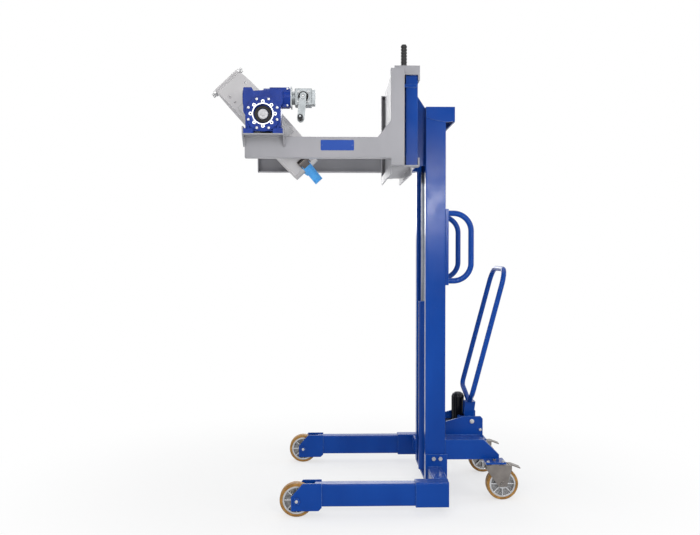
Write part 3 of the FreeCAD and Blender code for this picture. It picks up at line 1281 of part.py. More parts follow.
def rear_chassis():
    """Two boxed rear beams under a deck, with the foot between the columns and the lever brackets."""
    beam = plate("rear_beam", (
        ("mast_rear", "beam_bottom"),
        ("mast_rear + beam_foot_length", "beam_bottom"),
        ("mast_rear + beam_foot_length", "beam_bottom + beam_heel"),
        ("mast_rear + beam_top_length", "beam_top"),
        ("mast_rear", "beam_top"),
    ), "column_width", "-column_inner")
    hollow = plate("rear_beam_hollow", (
        ("mast_rear + beam_wall", "beam_bottom + beam_wall"),
        ("mast_rear + beam_foot_length - 2 * beam_wall", "beam_bottom + beam_wall"),
        ("mast_rear + beam_top_length - beam_wall", "beam_top - beam_wall"),
        ("mast_rear + beam_wall", "beam_top - beam_wall"),
    ), "column_width - beam_wall + 1", "-column_inner + 1")
    near = cut("rear_beam_near", beam, [hollow])
    pieces = [near, mirror("rear_beam_far", near)]
    pieces.append(box("deck", ("beam_top_length", "2 * column_inner + 2", "deck_wall"),
                      ("mast_rear", "-column_inner - 1", "deck_top - deck_wall")))
    pieces.append(box("rear_tie", ("beam_wall", "2 * column_inner + 2", "beam_height - 40"),
                      ("mast_rear + beam_top_length - beam_wall", "-column_inner - 1", "beam_bottom + 30")))
    pieces.append(box("foot_riser", ("beam_wall", "2 * column_inner", "deck_top - mast_bottom + 6"),
                      ("mast_rear", "-column_inner", "mast_bottom - 10")))
    pieces.append(box("foot_plate", ("column_depth + beam_wall", "2 * mast_half_width", "10"),
                      ("mast_front", "-mast_half_width", "mast_bottom - 10")))
    for side, y in (("near", "-bracket_spacing"), ("far", "bracket_spacing + bracket_wall")):
        pieces.append(plate("lever_bracket_" + side, (
            ("mast_rear + 18", "deck_top - 1"),
            ("mast_rear + beam_top_length + bracket_overhang", "deck_top - 1"),
            ("mast_rear + beam_top_length + bracket_overhang", "deck_top + bracket_rise - 12"),
            ("mast_rear + beam_top_length + bracket_overhang - 10", "deck_top + bracket_rise"),
            ("mast_rear + 106", "deck_top + bracket_rise"),
            ("mast_rear + 18", "deck_top + bracket_rise - 25"),
        ), "bracket_wall", y, [("lever_x", "lever_height", "lever_pin_radius + running_clearance")]))
    pins = []
    for side, sign in (("near", -1), ("far", 1)):
        y = f"{sign} * castor_spacing"
        pieces.append(box("castor_pad_" + side, ("castor_plate", "castor_plate", "castor_plate_wall + 0.5"),
                          ("castor_x - castor_plate / 2", f"{y} - castor_plate / 2", "castor_plate_bottom")))
        pins.append(cylinder("castor_pin_hole_" + side, "castor_pin_radius + running_clearance",
                             "castor_plate_wall + 4", ("castor_x", y, "castor_plate_bottom - 2")))
    node("rear_chassis", cut("rear_chassis", fuse("rear_chassis_weld", pieces), pins))

    block = box("pump_block", ("pump_block_length", "pump_block_width", "pump_block_height"),
                ("plunger_x - pump_block_lead", "-pump_block_side", "deck_top"))
    block = rounded(block, "cast_round", runs_along("z"))
    tank = turned("pump_tank", (
        ("0", "0"),
        ("reservoir_radius", "0"),
        ("reservoir_radius", "reservoir_height - 22"),
        ("reservoir_radius - 6", "reservoir_height - 8"),
        ("reservoir_radius - 18", "reservoir_height"),
        ("0", "reservoir_height"),
    ), ("plunger_x + reservoir_shift", "reservoir_offset", "deck_top + pump_block_height - 1"))
    bore = cylinder("plunger_bore", "plunger_radius + running_clearance", "pump_block_height",
                    ("plunger_x", "0", "deck_top + 8"))
    stem_bore = cylinder("release_bore", "release_stem_radius + running_clearance", "30",
                         ("release_x", "-pump_block_side - 8", "release_z"), "y")
    node("pump_body", cut("pump_body", fuse("pump_cast", [block, tank]), [bore, stem_bore]))
    knob = [
        cylinder("release_stem", "release_stem_radius", "22",
                 ("release_x", "-pump_block_side - 4", "release_z"), "y"),
        hexagon("release_head", "release_radius", "release_length",
                ("release_x", "-pump_block_side - 3 - release_length", "release_z"), "y"),
    ]
    node("release_knob", fuse("release_knob", knob))
    node("pump_plunger", turned("pump_plunger", (
        ("0", "deck_top + 10"),
        ("plunger_radius", "deck_top + 10"),
        ("plunger_radius", "plunger_top - 6"),
        ("plunger_head_radius", "plunger_top - 6"),
        ("plunger_head_radius", "plunger_top"),
        ("0", "plunger_top"),
    ), ("plunger_x", "0", "0")))


def pump_lever():
    """Lever on its cross pin, with the roller nose over the plunger, and the looped handle bar."""
    half = "lever_width / 2"
    block = plate("lever_block", (
        ("lever_x - 16", "lever_height - 18"),
        ("lever_x + 16", "lever_height - 18"),
        ("lever_x + lever_depth / 2", "lever_height + 20"),
        ("lever_x + lever_depth / 2 + 8", "handle_foot_z"),
        ("lever_x - lever_depth / 2 + 4", "handle_foot_z"),
        ("lever_x - lever_depth / 2", "lever_height + 20"),
    ), "lever_width", half)
    nose = box("lever_arm", ("lever_nose", "14", "lever_nose_height"),
               ("plunger_x", "-7", "lever_height - lever_nose_height / 2"))
    roller = cylinder("lever_roller", "lever_roller_radius", "18", ("plunger_x", "-9", "lever_height"), "y")
    pin = cylinder("lever_pin", "lever_pin_radius", "2 * (bracket_spacing + bracket_wall + 5)",
                   ("lever_x", "-bracket_spacing - bracket_wall - 5", "lever_height"), "y")
    node("pump_lever", fuse("pump_lever", [block, nose, roller, pin]))

    lean = math.radians(read("handle_lean"))
    along = Vector(math.sin(lean), 0, math.cos(lean))
    wide = Vector(0, read("handle_half_width"), 0)
    foot = Vector(read("lever_x") + read("handle_foot_offset"), 0, read("handle_foot_z"))
    inner = Vector(0, read("lever_width") / 2 - read("handle_radius") - read("handle_foot_gap"), 0)
    shoulder = foot + Vector(-read("handle_neck_back"), 0, read("handle_shoulder"))
    top = shoulder + along * read("handle_length")
    bend = read("handle_bend")
    neck = read("handle_neck_bend")
    dip = ((shoulder - wide) - (foot - inner)).normalize() * read("handle_dip")
    dip_far = ((shoulder + wide) - (foot + inner)).normalize() * read("handle_dip")
    tube = bent_tube("pump_handle_tube", [
        foot - inner - dip,
        shoulder - wide,
        top - wide,
        top + wide,
        shoulder + wide,
        foot + inner - dip_far,
    ], [neck, bend, bend, neck], read("handle_radius"))
    trim = box("handle_trim", ("160", "160", "60"), ("lever_x - 80", "-80", "handle_foot_z - 60"))
    node("pump_handle", cut("pump_handle", tube, [trim]))


def castors():
    """Swivel castors: a pressed fork on a race under the chassis pad, a wheel and a brake pedal."""
    for side, sign in (("near", -1), ("far", 1)):
        y = f"{sign} * castor_spacing"
        inner = "(hub_length / 2 + 1)"
        race = cylinder("castor_race_" + side, "castor_race_radius", "castor_race + 1",
                        ("castor_x", y, "crown_top - 1"))
        crown = box("castor_crown_" + side,
                    ("2 * castor_race_radius + 34", f"2 * ({inner} + castor_wall)", "castor_wall"),
                    ("castor_x - castor_race_radius - 6", f"{y} - {inner} - castor_wall", "crown_bottom"))
        pivot = cylinder("castor_pin_" + side, "castor_pin_radius", "castor_race + castor_plate_wall + 8",
                         ("castor_x", y, "crown_top - 1"))
        pieces = [race, crown, pivot]
        for cheek, face in (("outer", f"{y} - {inner}"), ("inner", f"{y} + {inner} + castor_wall")):
            pieces.append(plate(f"castor_cheek_{side}_{cheek}", (
                ("castor_x - castor_race_radius - 6", "crown_top"),
                ("castor_x - castor_race_radius - 6", "crown_top - 22"),
                ("castor_wheel_x - 18", "wheel_radius - 12"),
                ("castor_wheel_x + 18", "wheel_radius - 12"),
                ("pedal_x + 9", "crown_top - 20"),
                ("pedal_x + 9", "crown_top"),
            ), "castor_wall", face))
        pieces.append(cylinder("castor_axle_" + side, "axle_radius", f"2 * ({inner} + castor_wall + 8)",
                               ("castor_wheel_x", f"{y} - {inner} - castor_wall - 8", "wheel_radius"), "y"))
        pieces.append(cylinder("pedal_pin_" + side, "pedal_pin_radius", f"2 * ({inner} + castor_wall)",
                               ("pedal_x", f"{y} - {inner} - castor_wall", "pedal_pin_z"), "y"))
        node("castor_fork_" + side, fuse("castor_fork_" + side, pieces))
        wheel("castor", side, ("castor_wheel_x", y, "wheel_radius"))

        tread = plate("pedal_tread_" + side, (
            ("pedal_x - 6", "pedal_pin_z + 3"),
            ("pedal_x - 6 + pedal_flat", "pedal_pin_z + 3"),
            ("pedal_x - 6 + pedal_length", "pedal_pin_z + 3 - pedal_slope"),
            ("pedal_x - 6 + pedal_length", "pedal_pin_z + 3 - pedal_slope + pedal_wall"),
            ("pedal_x - 6 + pedal_flat", "pedal_pin_z + 3 + pedal_wall"),
            ("pedal_x - 6", "pedal_pin_z + 3 + pedal_wall"),
        ), "pedal_width", f"{y} + pedal_width / 2")
        barrel = cylinder("pedal_barrel_" + side, "pedal_pin_radius + 3.5", "pedal_width",
                          ("pedal_x", f"{y} - pedal_width / 2", "pedal_pin_z"), "y")
        bore = cylinder("pedal_bore_" + side, "pedal_pin_radius + running_clearance", "pedal_width + 2",
                        ("pedal_x", f"{y} - pedal_width / 2 - 1", "pedal_pin_z"), "y")
        weld = fuse("pedal_weld_" + side, [tread, barrel])
        node("brake_pedal_" + side, cut("brake_pedal_" + side, weld, [bore]))


def write_parts():
    """Check every object and write one file per node."""
    doc.recompute()
    for item in doc.Objects:
        if "Invalid" in item.State or "Error" in item.State:
            raise RuntimeError(f"{item.Name} failed: {item.State}")
    os.makedirs("parts", exist_ok=True)
    for name, piece in nodes.items():
        shape = piece.Shape
        if shape.isNull() or not shape.isValid() or not shape.Solids:
            raise RuntimeError(f"{name} has no valid solid")
        shape.exportStep(f"parts/{name}.step")


fill_sheets()
mast()
lift_rod()
chain()
grab_handles()
carriage()
tipping_frame()
gearbox()
crank()
cradle()
strap()
legs()
rear_chassis()
pump_lever()
castors()
write_parts()
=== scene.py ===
"""Drum tipper: studio, finishes, webbing strap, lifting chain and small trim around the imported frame."""
import json
import math

import bmesh
import bpy
from mathutils import Matrix, Vector


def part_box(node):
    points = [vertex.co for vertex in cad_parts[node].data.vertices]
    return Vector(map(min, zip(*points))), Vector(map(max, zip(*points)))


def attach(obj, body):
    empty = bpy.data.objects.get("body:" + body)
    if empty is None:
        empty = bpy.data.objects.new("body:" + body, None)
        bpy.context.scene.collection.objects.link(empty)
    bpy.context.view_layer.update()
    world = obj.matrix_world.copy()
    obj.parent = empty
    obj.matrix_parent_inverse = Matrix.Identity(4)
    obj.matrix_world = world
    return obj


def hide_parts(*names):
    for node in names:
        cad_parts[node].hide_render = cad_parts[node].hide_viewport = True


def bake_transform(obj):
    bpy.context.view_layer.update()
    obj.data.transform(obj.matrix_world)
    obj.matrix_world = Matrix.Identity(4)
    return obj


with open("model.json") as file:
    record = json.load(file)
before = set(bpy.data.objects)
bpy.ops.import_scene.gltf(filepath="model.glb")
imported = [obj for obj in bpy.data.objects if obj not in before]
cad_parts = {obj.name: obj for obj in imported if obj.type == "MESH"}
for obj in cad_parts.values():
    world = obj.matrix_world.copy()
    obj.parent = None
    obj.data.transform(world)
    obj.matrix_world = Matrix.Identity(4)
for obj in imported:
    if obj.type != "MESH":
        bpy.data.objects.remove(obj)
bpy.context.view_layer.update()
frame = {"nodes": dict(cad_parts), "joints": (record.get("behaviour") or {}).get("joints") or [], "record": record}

MM = 0.001
RECORD = frame["record"]
JOINTS = {joint["name"]: joint for joint in frame["joints"]}
SLOT_OF = {part["node"]: part["material_slot"] for part in RECORD["subparts"]}
PIVOT = Vector(JOINTS["drum_tilt"]["pos_m"])
LEVER_PIN = Vector(JOINTS["pump_stroke"]["pos_m"])
PULLEY = Vector(JOINTS["pulley_spin"]["pos_m"])
CRANK = Vector(JOINTS["crank_turn"]["pos_m"])
FRONT_WHEEL = Vector(JOINTS["front_wheel_near_spin"]["pos_m"])
CASTOR = Vector(JOINTS["castor_near_swivel"]["pos_m"])
SADDLE = RECORD["mounts"][0]
DRUM_AXIS = Vector(SADDLE["axis"])
TILT = math.atan2(-DRUM_AXIS.x, DRUM_AXIS.z)
# Cradle pieces are modelled upright about the pivot, as in the CAD model, and then tilted into place.
CRADLE = Matrix.Translation(PIVOT) @ Matrix.Rotation(TILT, 4, (0, -1, 0))
# Turns a piece that is modelled along +Z so that it looks to the crank side, to the other side, or up.
TO_SIDE = {"near": Matrix.Rotation(math.pi / 2, 4, "X"), "far": Matrix.Rotation(-math.pi / 2, 4, "X")}
UP = Matrix.Identity(4)
SIDES = (("near", -1), ("far", 1))
# Nodes whose finish differs from the plain one of their slot.
OWN_FINISH = {
    "saddle_plate_near": "pale", "saddle_plate_far": "pale", "rear_rail": "pale",
    "frame_bolts": "bolt", "front_axles": "blue", "rear_studs": "bolt",
    "pivot_shaft_near": "blasted", "pivot_shaft_far": "blasted",
    "front_core_near": "front_core", "front_core_far": "front_core",
    "castor_core_near": "castor_core", "castor_core_far": "castor_core",
}


# Studio

def set_camera():
    """The photograph's view: level, from the crank side, a little below the middle of the mast."""
    data = bpy.data.cameras.new("studio_camera")
    data.sensor_width = 36
    data.lens = 43.2
    data.clip_end = 60
    camera = bpy.data.objects.new("studio_camera", data)
    camera.location = (-0.171, -4.2, 1.175)
    camera.rotation_euler = (math.radians(90 - 1.12), 0, math.radians(-1.43))
    bpy.context.scene.collection.objects.link(camera)
    bpy.context.scene.camera = camera


def softbox(name, place, aim, width, height, watts):
    """A rectangular studio lamp that looks at a point."""
    data = bpy.data.lights.new(name, "AREA")
    data.shape = "RECTANGLE"
    data.size = width
    data.size_y = height
    data.energy = watts
    lamp = bpy.data.objects.new(name, data)
    lamp.location = place
    lamp.rotation_euler = (Vector(aim) - Vector(place)).to_track_quat("-Z", "Y").to_euler()
    bpy.context.scene.collection.objects.link(lamp)


def shader_node(tree, kind, links=None, values=None, **settings):
    """Add a node: settings are its properties, values its plain inputs, links the sockets that feed it."""
    made = tree.nodes.new(kind)
    for name, value in settings.items():
        setattr(made, name, value)
    for socket, value in (values or {}).items():
        made.inputs[socket].default_value = value
    for socket, source in (links or {}).items():
        tree.links.new(source, made.inputs[socket])
    return made


def linear(hex_code):
    """sRGB hex to the linear colour that a shader socket takes."""
    channels = [int(hex_code[i:i + 2], 16) / 255 for i in (1, 3, 5)]
    return [c / 12.92 if c <= 0.04045 else ((c + 0.055) / 1.055) ** 2.4 for c in channels] + [1.0]


def seen_rays(tree):
    """1 for rays that show the surroundings: to the camera, in reflections and through clear pieces."""
    rays = shader_node(tree, "ShaderNodeLightPath")
    seen = rays.outputs["Is Camera Ray"]
    for kind in ("Is Glossy Ray", "Is Transmission Ray"):
        either = shader_node(tree, "ShaderNodeMath", {0: seen, 1: rays.outputs[kind]}, operation="MAXIMUM")
        seen = either.outputs[0]
    return seen


def set_studio():
    """White surroundings, a soft grey sky for the light, soft boxes, and paper that fades out to white."""
    world = bpy.data.worlds.new("studio_world")
    bpy.context.scene.world = world
    world.use_nodes = True
    tree = world.node_tree
    tree.nodes.clear()
    sky = shader_node(tree, "ShaderNodeBackground", values={"Color": linear("#F6F7FA"), "Strength": 0.36})
    white = shader_node(tree, "ShaderNodeBackground", values={"Color": (1, 1, 1, 1), "Strength": 1.0})
    mixed = shader_node(tree, "ShaderNodeMixShader",
                        {0: seen_rays(tree), 1: sky.outputs[0], 2: white.outputs[0]})
    shader_node(tree, "ShaderNodeOutputWorld", {"Surface": mixed.outputs[0]})

    middle = (0.0, 0.0, 1.1)
    softbox("key_box", (-1.0, -4.6, 3.3), middle, width=2.6, height=2.0, watts=64)
    softbox("fill_box", (3.2, -2.4, 2.3), middle, width=2.0, height=2.4, watts=20)
    softbox("top_box", (0.2, 0.3, 4.8), middle, width=3.0, height=3.0, watts=50)
    softbox("back_box", (-0.4, 3.8, 2.3), middle, width=2.4, height=2.0, watts=44)
    # Boxes at the ends, behind the near side's plane, so that they light only the ends and the far side.
    for name, side in (("arm_end_box", -1), ("pump_end_box", 1)):
        softbox(name, (side * 4.2, 0.9, 1.8), middle, width=1.8, height=2.0, watts=30)
    # Tall strips beside the camera draw a thin bright line along round bars.
    for name, side in (("left_strip", -1), ("right_strip", 1)):
        softbox(name, (side * 2.3, -3.4, 1.3), middle, width=0.2, height=2.4, watts=9)
    # A narrow box whose reflection makes the pale streak high on the near column.
    softbox("streak_box", (0.74, -3.4, 1.62), (0.33, -0.23, 1.45), width=0.30, height=0.56, watts=26)

    bm = bmesh.new()
    bmesh.ops.create_grid(bm, x_segments=1, y_segments=1, size=14)
    mesh = bpy.data.meshes.new("studio_floor")
    bm.to_mesh(mesh)
    bm.free()
    floor = bpy.data.objects.new("studio_floor", mesh)
    bpy.context.scene.collection.objects.link(floor)
    paper = bpy.data.materials.new("pale_studio_paper")
    paper.use_nodes = True
    tree = paper.node_tree
    tree.nodes.clear()
    place = shader_node(tree, "ShaderNodeTexCoord")
    away = shader_node(tree, "ShaderNodeVectorMath", {0: place.outputs["Object"]}, operation="LENGTH")
    fade = shader_node(tree, "ShaderNodeMapRange", {"Value": away.outputs["Value"]},
                       {"From Min": 0.7, "From Max": 2.1, "To Min": 0.62, "To Max": 1.0},
                       interpolation_type="SMOOTHSTEP")
    white = shader_node(tree, "ShaderNodeMath", {0: seen_rays(tree), 1: fade.outputs[0]},
                        operation="MULTIPLY")
    matte = shader_node(tree, "ShaderNodeBsdfDiffuse", values={"Color": linear("#F5F5F4")})
    glow = shader_node(tree, "ShaderNodeEmission", values={"Color": (1, 1, 1, 1), "Strength": 1.0})
    mixed = shader_node(tree, "ShaderNodeMixShader",
                        {0: white.outputs[0], 1: matte.outputs[0], 2: glow.outputs[0]})
    shader_node(tree, "ShaderNodeOutputMaterial", {"Surface": mixed.outputs[0]})
    mesh.materials.append(paper)


# Finishes

def finish(name, **shader_values):
    """A material with one principled shader; values that are the same all over sit on its own sockets."""
    material = bpy.data.materials.new(name)
    material.use_nodes = True
    tree = material.node_tree
    tree.nodes.clear()
    values = {socket.replace("_", " "): value for socket, value in shader_values.items()}
    shader = shader_node(tree, "ShaderNodeBsdfPrincipled", values=values)
    shader_node(tree, "ShaderNodeOutputMaterial", {"Surface": shader.outputs[0]})
    return material, tree, shader


def patches(tree, millimetres, detail=3.0, stretch=(1, 1, 1), turn=(0, 0, 0)):
    """Cloudy noise whose patches are about the given size, on Object coordinates; stretch draws them out
    along the axes, after the turn."""
    place = shader_node(tree, "ShaderNodeTexCoord")
    scaled = shader_node(tree, "ShaderNodeMapping", {"Vector": place.outputs["Object"]},
                         {"Scale": stretch, "Rotation": turn}, vector_type="TEXTURE")
    noise = shader_node(tree, "ShaderNodeTexNoise", {"Vector": scaled.outputs[0]},
                        {"Scale": 1 / (millimetres * MM), "Detail": detail})
    return noise.outputs["Fac"]


def amount(tree, millimetres, low, high, start=0.3, end=0.7, **pattern):
    """A value that drifts from low to high in patches; start and end say how sharp their borders are."""
    mapped = shader_node(tree, "ShaderNodeMapRange", {"Value": patches(tree, millimetres, **pattern)},
                         {"From Min": start, "From Max": end, "To Min": low, "To Max": high})
    return mapped.outputs[0]


def tones(tree, millimetres, dark, light, start=0.3, end=0.7, **pattern):
    """A colour that drifts from dark to light in patches."""
    share = amount(tree, millimetres, 0.0, 1.0, start, end, **pattern)
    mix = shader_node(tree, "ShaderNodeMix", {0: share}, {6: linear(dark), 7: linear(light)},
                      data_type="RGBA")
    return mix.outputs[2]


def coat(tree, colour, over, thickness, where):
    """Another colour laid over one, as thick as a pattern says and only where a mask lets it."""
    laid = shader_node(tree, "ShaderNodeMath", {0: where, 1: thickness}, operation="MULTIPLY")
    mix = shader_node(tree, "ShaderNodeMix", {0: laid.outputs[0], 6: colour}, {7: linear(over)},
                      data_type="RGBA")
    return mix.outputs[2]


def looks_up(tree):
    """1 on faces that look up in the rest pose, 0 on walls."""
    place = shader_node(tree, "ShaderNodeTexCoord")
    axes = shader_node(tree, "ShaderNodeSeparateXYZ", {0: place.outputs["Normal"]})
    mapped = shader_node(tree, "ShaderNodeMapRange", {"Value": axes.outputs["Z"]},
                         {"From Min": 0.55, "From Max": 0.95})
    return mapped.outputs[0]


def rounded_edges(tree, millimetres):
    """Rounded edge normals, and a mask that is 1 on the edges of a sheet or casting and 0 on its flats."""
    soft = shader_node(tree, "ShaderNodeBevel", values={"Radius": millimetres * MM}, samples=6)
    flat = shader_node(tree, "ShaderNodeNewGeometry")
    same = shader_node(tree, "ShaderNodeVectorMath", {0: soft.outputs[0], 1: flat.outputs["True Normal"]},
                       operation="DOT_PRODUCT")
    on_edges = shader_node(tree, "ShaderNodeMapRange", {"Value": same.outputs["Value"]},
                       {"From Min": 0.985, "From Max": 0.80})
    return soft.outputs[0], on_edges.outputs[0]


def dress(tree, shader, colour, roughness, height, millimetres, normal=None):
    """Give the shader its colour, its roughness and relief of a real height, on top of any rounded edges."""
    bump = shader_node(tree, "ShaderNodeBump", {"Height": height}, {"Distance": millimetres * MM})
    if normal is not None:
        tree.links.new(normal, bump.inputs["Normal"])
    tree.links.new(colour, shader.inputs["Base Color"])
    tree.links.new(roughness, shader.inputs["Roughness"])
    tree.links.new(bump.outputs[0], shader.inputs["Normal"])


def enamel(name, dark, light, edge, rough, shine):
    """Enamel sprayed on welded steel: an even colour that drifts a little over a hand's breadth, orange peel
    4 mm across, a paler edge colour that is partly rubbed paint and partly a painted highlight where the
    edges catch the light, hairline scratches where it is handled, some dust on top."""
    material, tree, shader = finish(name, IOR=1.5, Specular_IOR_Level=shine)
    normal, on_edges = rounded_edges(tree, 3.5)
    colour = tones(tree, 170, dark, light, stretch=(1, 1, 2.5))
    colour = coat(tree, colour, "#A9AEB6", amount(tree, 14, 0.02, 0.09, start=0.35), looks_up(tree))
    handled = amount(tree, 120, 0.0, 0.3, start=0.56, end=0.68)
    for lean in (0.5, -0.8):
        hairlines = amount(tree, 0.9, 0.0, 1.0, start=0.68, end=0.75, detail=1.0, stretch=(1, 1, 45),
                           turn=(lean, lean / 2, 0))
        colour = coat(tree, colour, edge, hairlines, handled)
    # Paler colour along the edges: partly rubbed paint, partly a painted highlight where edges catch the light.
    colour = coat(tree, colour, edge, amount(tree, 11, 0.25, 0.9, start=0.35, end=0.65), on_edges)
    dress(tree, shader, colour, amount(tree, 70, rough - 0.05, rough + 0.07),
          patches(tree, 4, detail=1.0), 0.05, normal)
    return material


def bare_metal(name, dark, light, rough, grain, height, stretch=(1, 1, 1), drift=0.06):
    """Bare metal: tone and gloss drift over a finger's breadth, with the grain that its making left, and
    edges that handling keeps bright."""
    material, tree, shader = finish(name, Metallic=1.0)
    normal, on_edges = rounded_edges(tree, 1.0)
    colour = tones(tree, 38, dark, light, 0.25, 0.75, stretch=stretch)
    colour = coat(tree, colour, "#E4E4E4", patches(tree, 6), on_edges)
    dress(tree, shader, colour, amount(tree, 16, rough - drift, rough + drift, stretch=stretch),
          patches(tree, grain, detail=2.0, stretch=stretch), height, normal)
    return material


def die_cast_wheel(name, middle):
    """Pressure die-cast aluminium: a pale skin with flow marks, and painted shade in the pockets between the ribs.
    The wheel's middle plane is given as its distance from the machine's own."""
    material, tree, shader = finish(name, Metallic=1.0)
    normal, on_edges = rounded_edges(tree, 1.2)
    place = shader_node(tree, "ShaderNodeTexCoord")
    axes = shader_node(tree, "ShaderNodeSeparateXYZ", {0: place.outputs["Object"]})
    aside = shader_node(tree, "ShaderNodeMath", {0: axes.outputs["Y"]}, operation="ABSOLUTE")
    off = shader_node(tree, "ShaderNodeMath", {0: aside.outputs[0]}, {1: middle}, operation="SUBTRACT")
    depth = shader_node(tree, "ShaderNodeMath", {0: off.outputs[0]}, operation="ABSOLUTE")
    shaded_pocket = shader_node(tree, "ShaderNodeMapRange", {"Value": depth.outputs[0]},
                         {"From Min": 10 * MM, "From Max": 4.5 * MM})
    colour = tones(tree, 30, "#A9AAAC", "#C6C7C9", 0.25, 0.75)
    # Dark colour in the pockets between the ribs: painted shade.
    colour = coat(tree, colour, "#46423F", amount(tree, 9, 0.35, 0.85), shaded_pocket.outputs[0])
    colour = coat(tree, colour, "#E4E4E4", patches(tree, 6), on_edges)
    dress(tree, shader, colour, amount(tree, 14, 0.34, 0.52), patches(tree, 1.8, detail=2.0), 0.04, normal)
    return material


def gearbox_enamel():
    """Sand casting sprayed blue, with a skin of grains 2 mm across; its ring and lugs, proud of the cover,
    are machined bare and bright."""
    material, tree, shader = finish("sand_cast_gearbox_enamel", IOR=1.5, Specular_IOR_Level=0.16)
    machined_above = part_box("gearbox_housing")[0].y + 2 * MM
    normal, on_edges = rounded_edges(tree, 1.6)
    place = shader_node(tree, "ShaderNodeTexCoord")
    axes = shader_node(tree, "ShaderNodeSeparateXYZ", {0: place.outputs["Object"]})
    bare = shader_node(tree, "ShaderNodeMath", {0: axes.outputs["Y"]}, {1: machined_above},
                       operation="LESS_THAN")
    paint = tones(tree, 45, "#0F2E80", "#153994")
    paint = coat(tree, paint, "#4A6DBE", amount(tree, 9, 0.0, 0.5, start=0.35), on_edges)
    metal = tones(tree, 8, "#C3C7CC", "#E2E4E6")
    colour = shader_node(tree, "ShaderNodeMix", {0: bare.outputs[0], 6: paint, 7: metal}, data_type="RGBA")
    tree.links.new(bare.outputs[0], shader.inputs["Metallic"])
    dress(tree, shader, colour.outputs[2], amount(tree, 20, 0.24, 0.40), patches(tree, 2.2, detail=2.0), 0.10,
          normal)
    return material


def moulded(name, dark, light, rough, grain, height):
    """Moulded plastic or rubber: matt, with a fine even grain and edges that handling polishes paler."""
    material, tree, shader = finish(name, IOR=1.49, Specular_IOR_Level=0.4)
    normal, on_edges = rounded_edges(tree, 1.2)
    colour = tones(tree, 18, dark, light)
    colour = coat(tree, colour, "#6A6A6C", patches(tree, 4), on_edges)
    dress(tree, shader, colour, amount(tree, 9, rough - 0.07, rough + 0.07),
          patches(tree, grain, detail=1.0), height, normal)
    return material


def cast_polyurethane():
    """Cast amber polyurethane: honey brown, light enters its skin, and edges and tread are scuffed pale."""
    material, tree, shader = finish("cast_amber_polyurethane", IOR=1.5, Specular_IOR_Level=0.2,
                                    Subsurface_Weight=0.12, Subsurface_Scale=0.004)
    normal, on_edges = rounded_edges(tree, 2.0)
    colour = tones(tree, 26, "#865F2C", "#B3884C", 0.3, 0.72)
    colour = coat(tree, colour, "#8E7A60", amount(tree, 7, 0.0, 0.3, start=0.55, end=0.8), patches(tree, 40))
    colour = coat(tree, colour, "#CDA45C", patches(tree, 12), on_edges)
    dress(tree, shader, colour, amount(tree, 12, 0.34, 0.58), patches(tree, 1.6, detail=2.0), 0.05, normal)
    return material


def woven_webbing():
    """Polyester webbing on its flat map, with ribs across the band and yarns along it: dull, with a soft
    sheen, faded where it rubs. Real yarns lie about 1.5 mm apart; 2.4 and 3 mm let them show."""
    material, tree, shader = finish("woven_polyester_webbing", IOR=1.45, Specular_IOR_Level=0.3,
                                    Sheen_Weight=0.2, Sheen_Roughness=0.5)
    lie = shader_node(tree, "ShaderNodeUVMap", uv_map="webbing")
    weave = []
    for spacing, direction in ((2.4, "X"), (3.0, "Y")):
        # A wave texture of scale 1 repeats every pi / 10.
        wave = shader_node(tree, "ShaderNodeTexWave", {"Vector": lie.outputs[0]},
                           {"Scale": math.pi / 10 / (spacing * MM), "Distortion": 0.5, "Detail": 1.0},
                           bands_direction=direction)
        weave.append(wave.outputs["Fac"])
    height = shader_node(tree, "ShaderNodeMath", {0: weave[0], 1: weave[1]}, operation="ADD").outputs[0]
    rubbed = shader_node(tree, "ShaderNodeMath", {0: height, 1: patches(tree, 16)}, operation="MULTIPLY")
    share = shader_node(tree, "ShaderNodeMapRange", {"Value": rubbed.outputs[0]},
                        {"From Min": 0.1, "From Max": 0.85})
    faded = shader_node(tree, "ShaderNodeMix", {0: share.outputs[0]},
                        {6: linear("#2C92F6"), 7: linear("#60C6FF")}, data_type="RGBA")
    dress(tree, shader, faded.outputs[2], amount(tree, 16, 0.62, 0.85, start=0.0, end=1.0), height, 0.22)
    return material


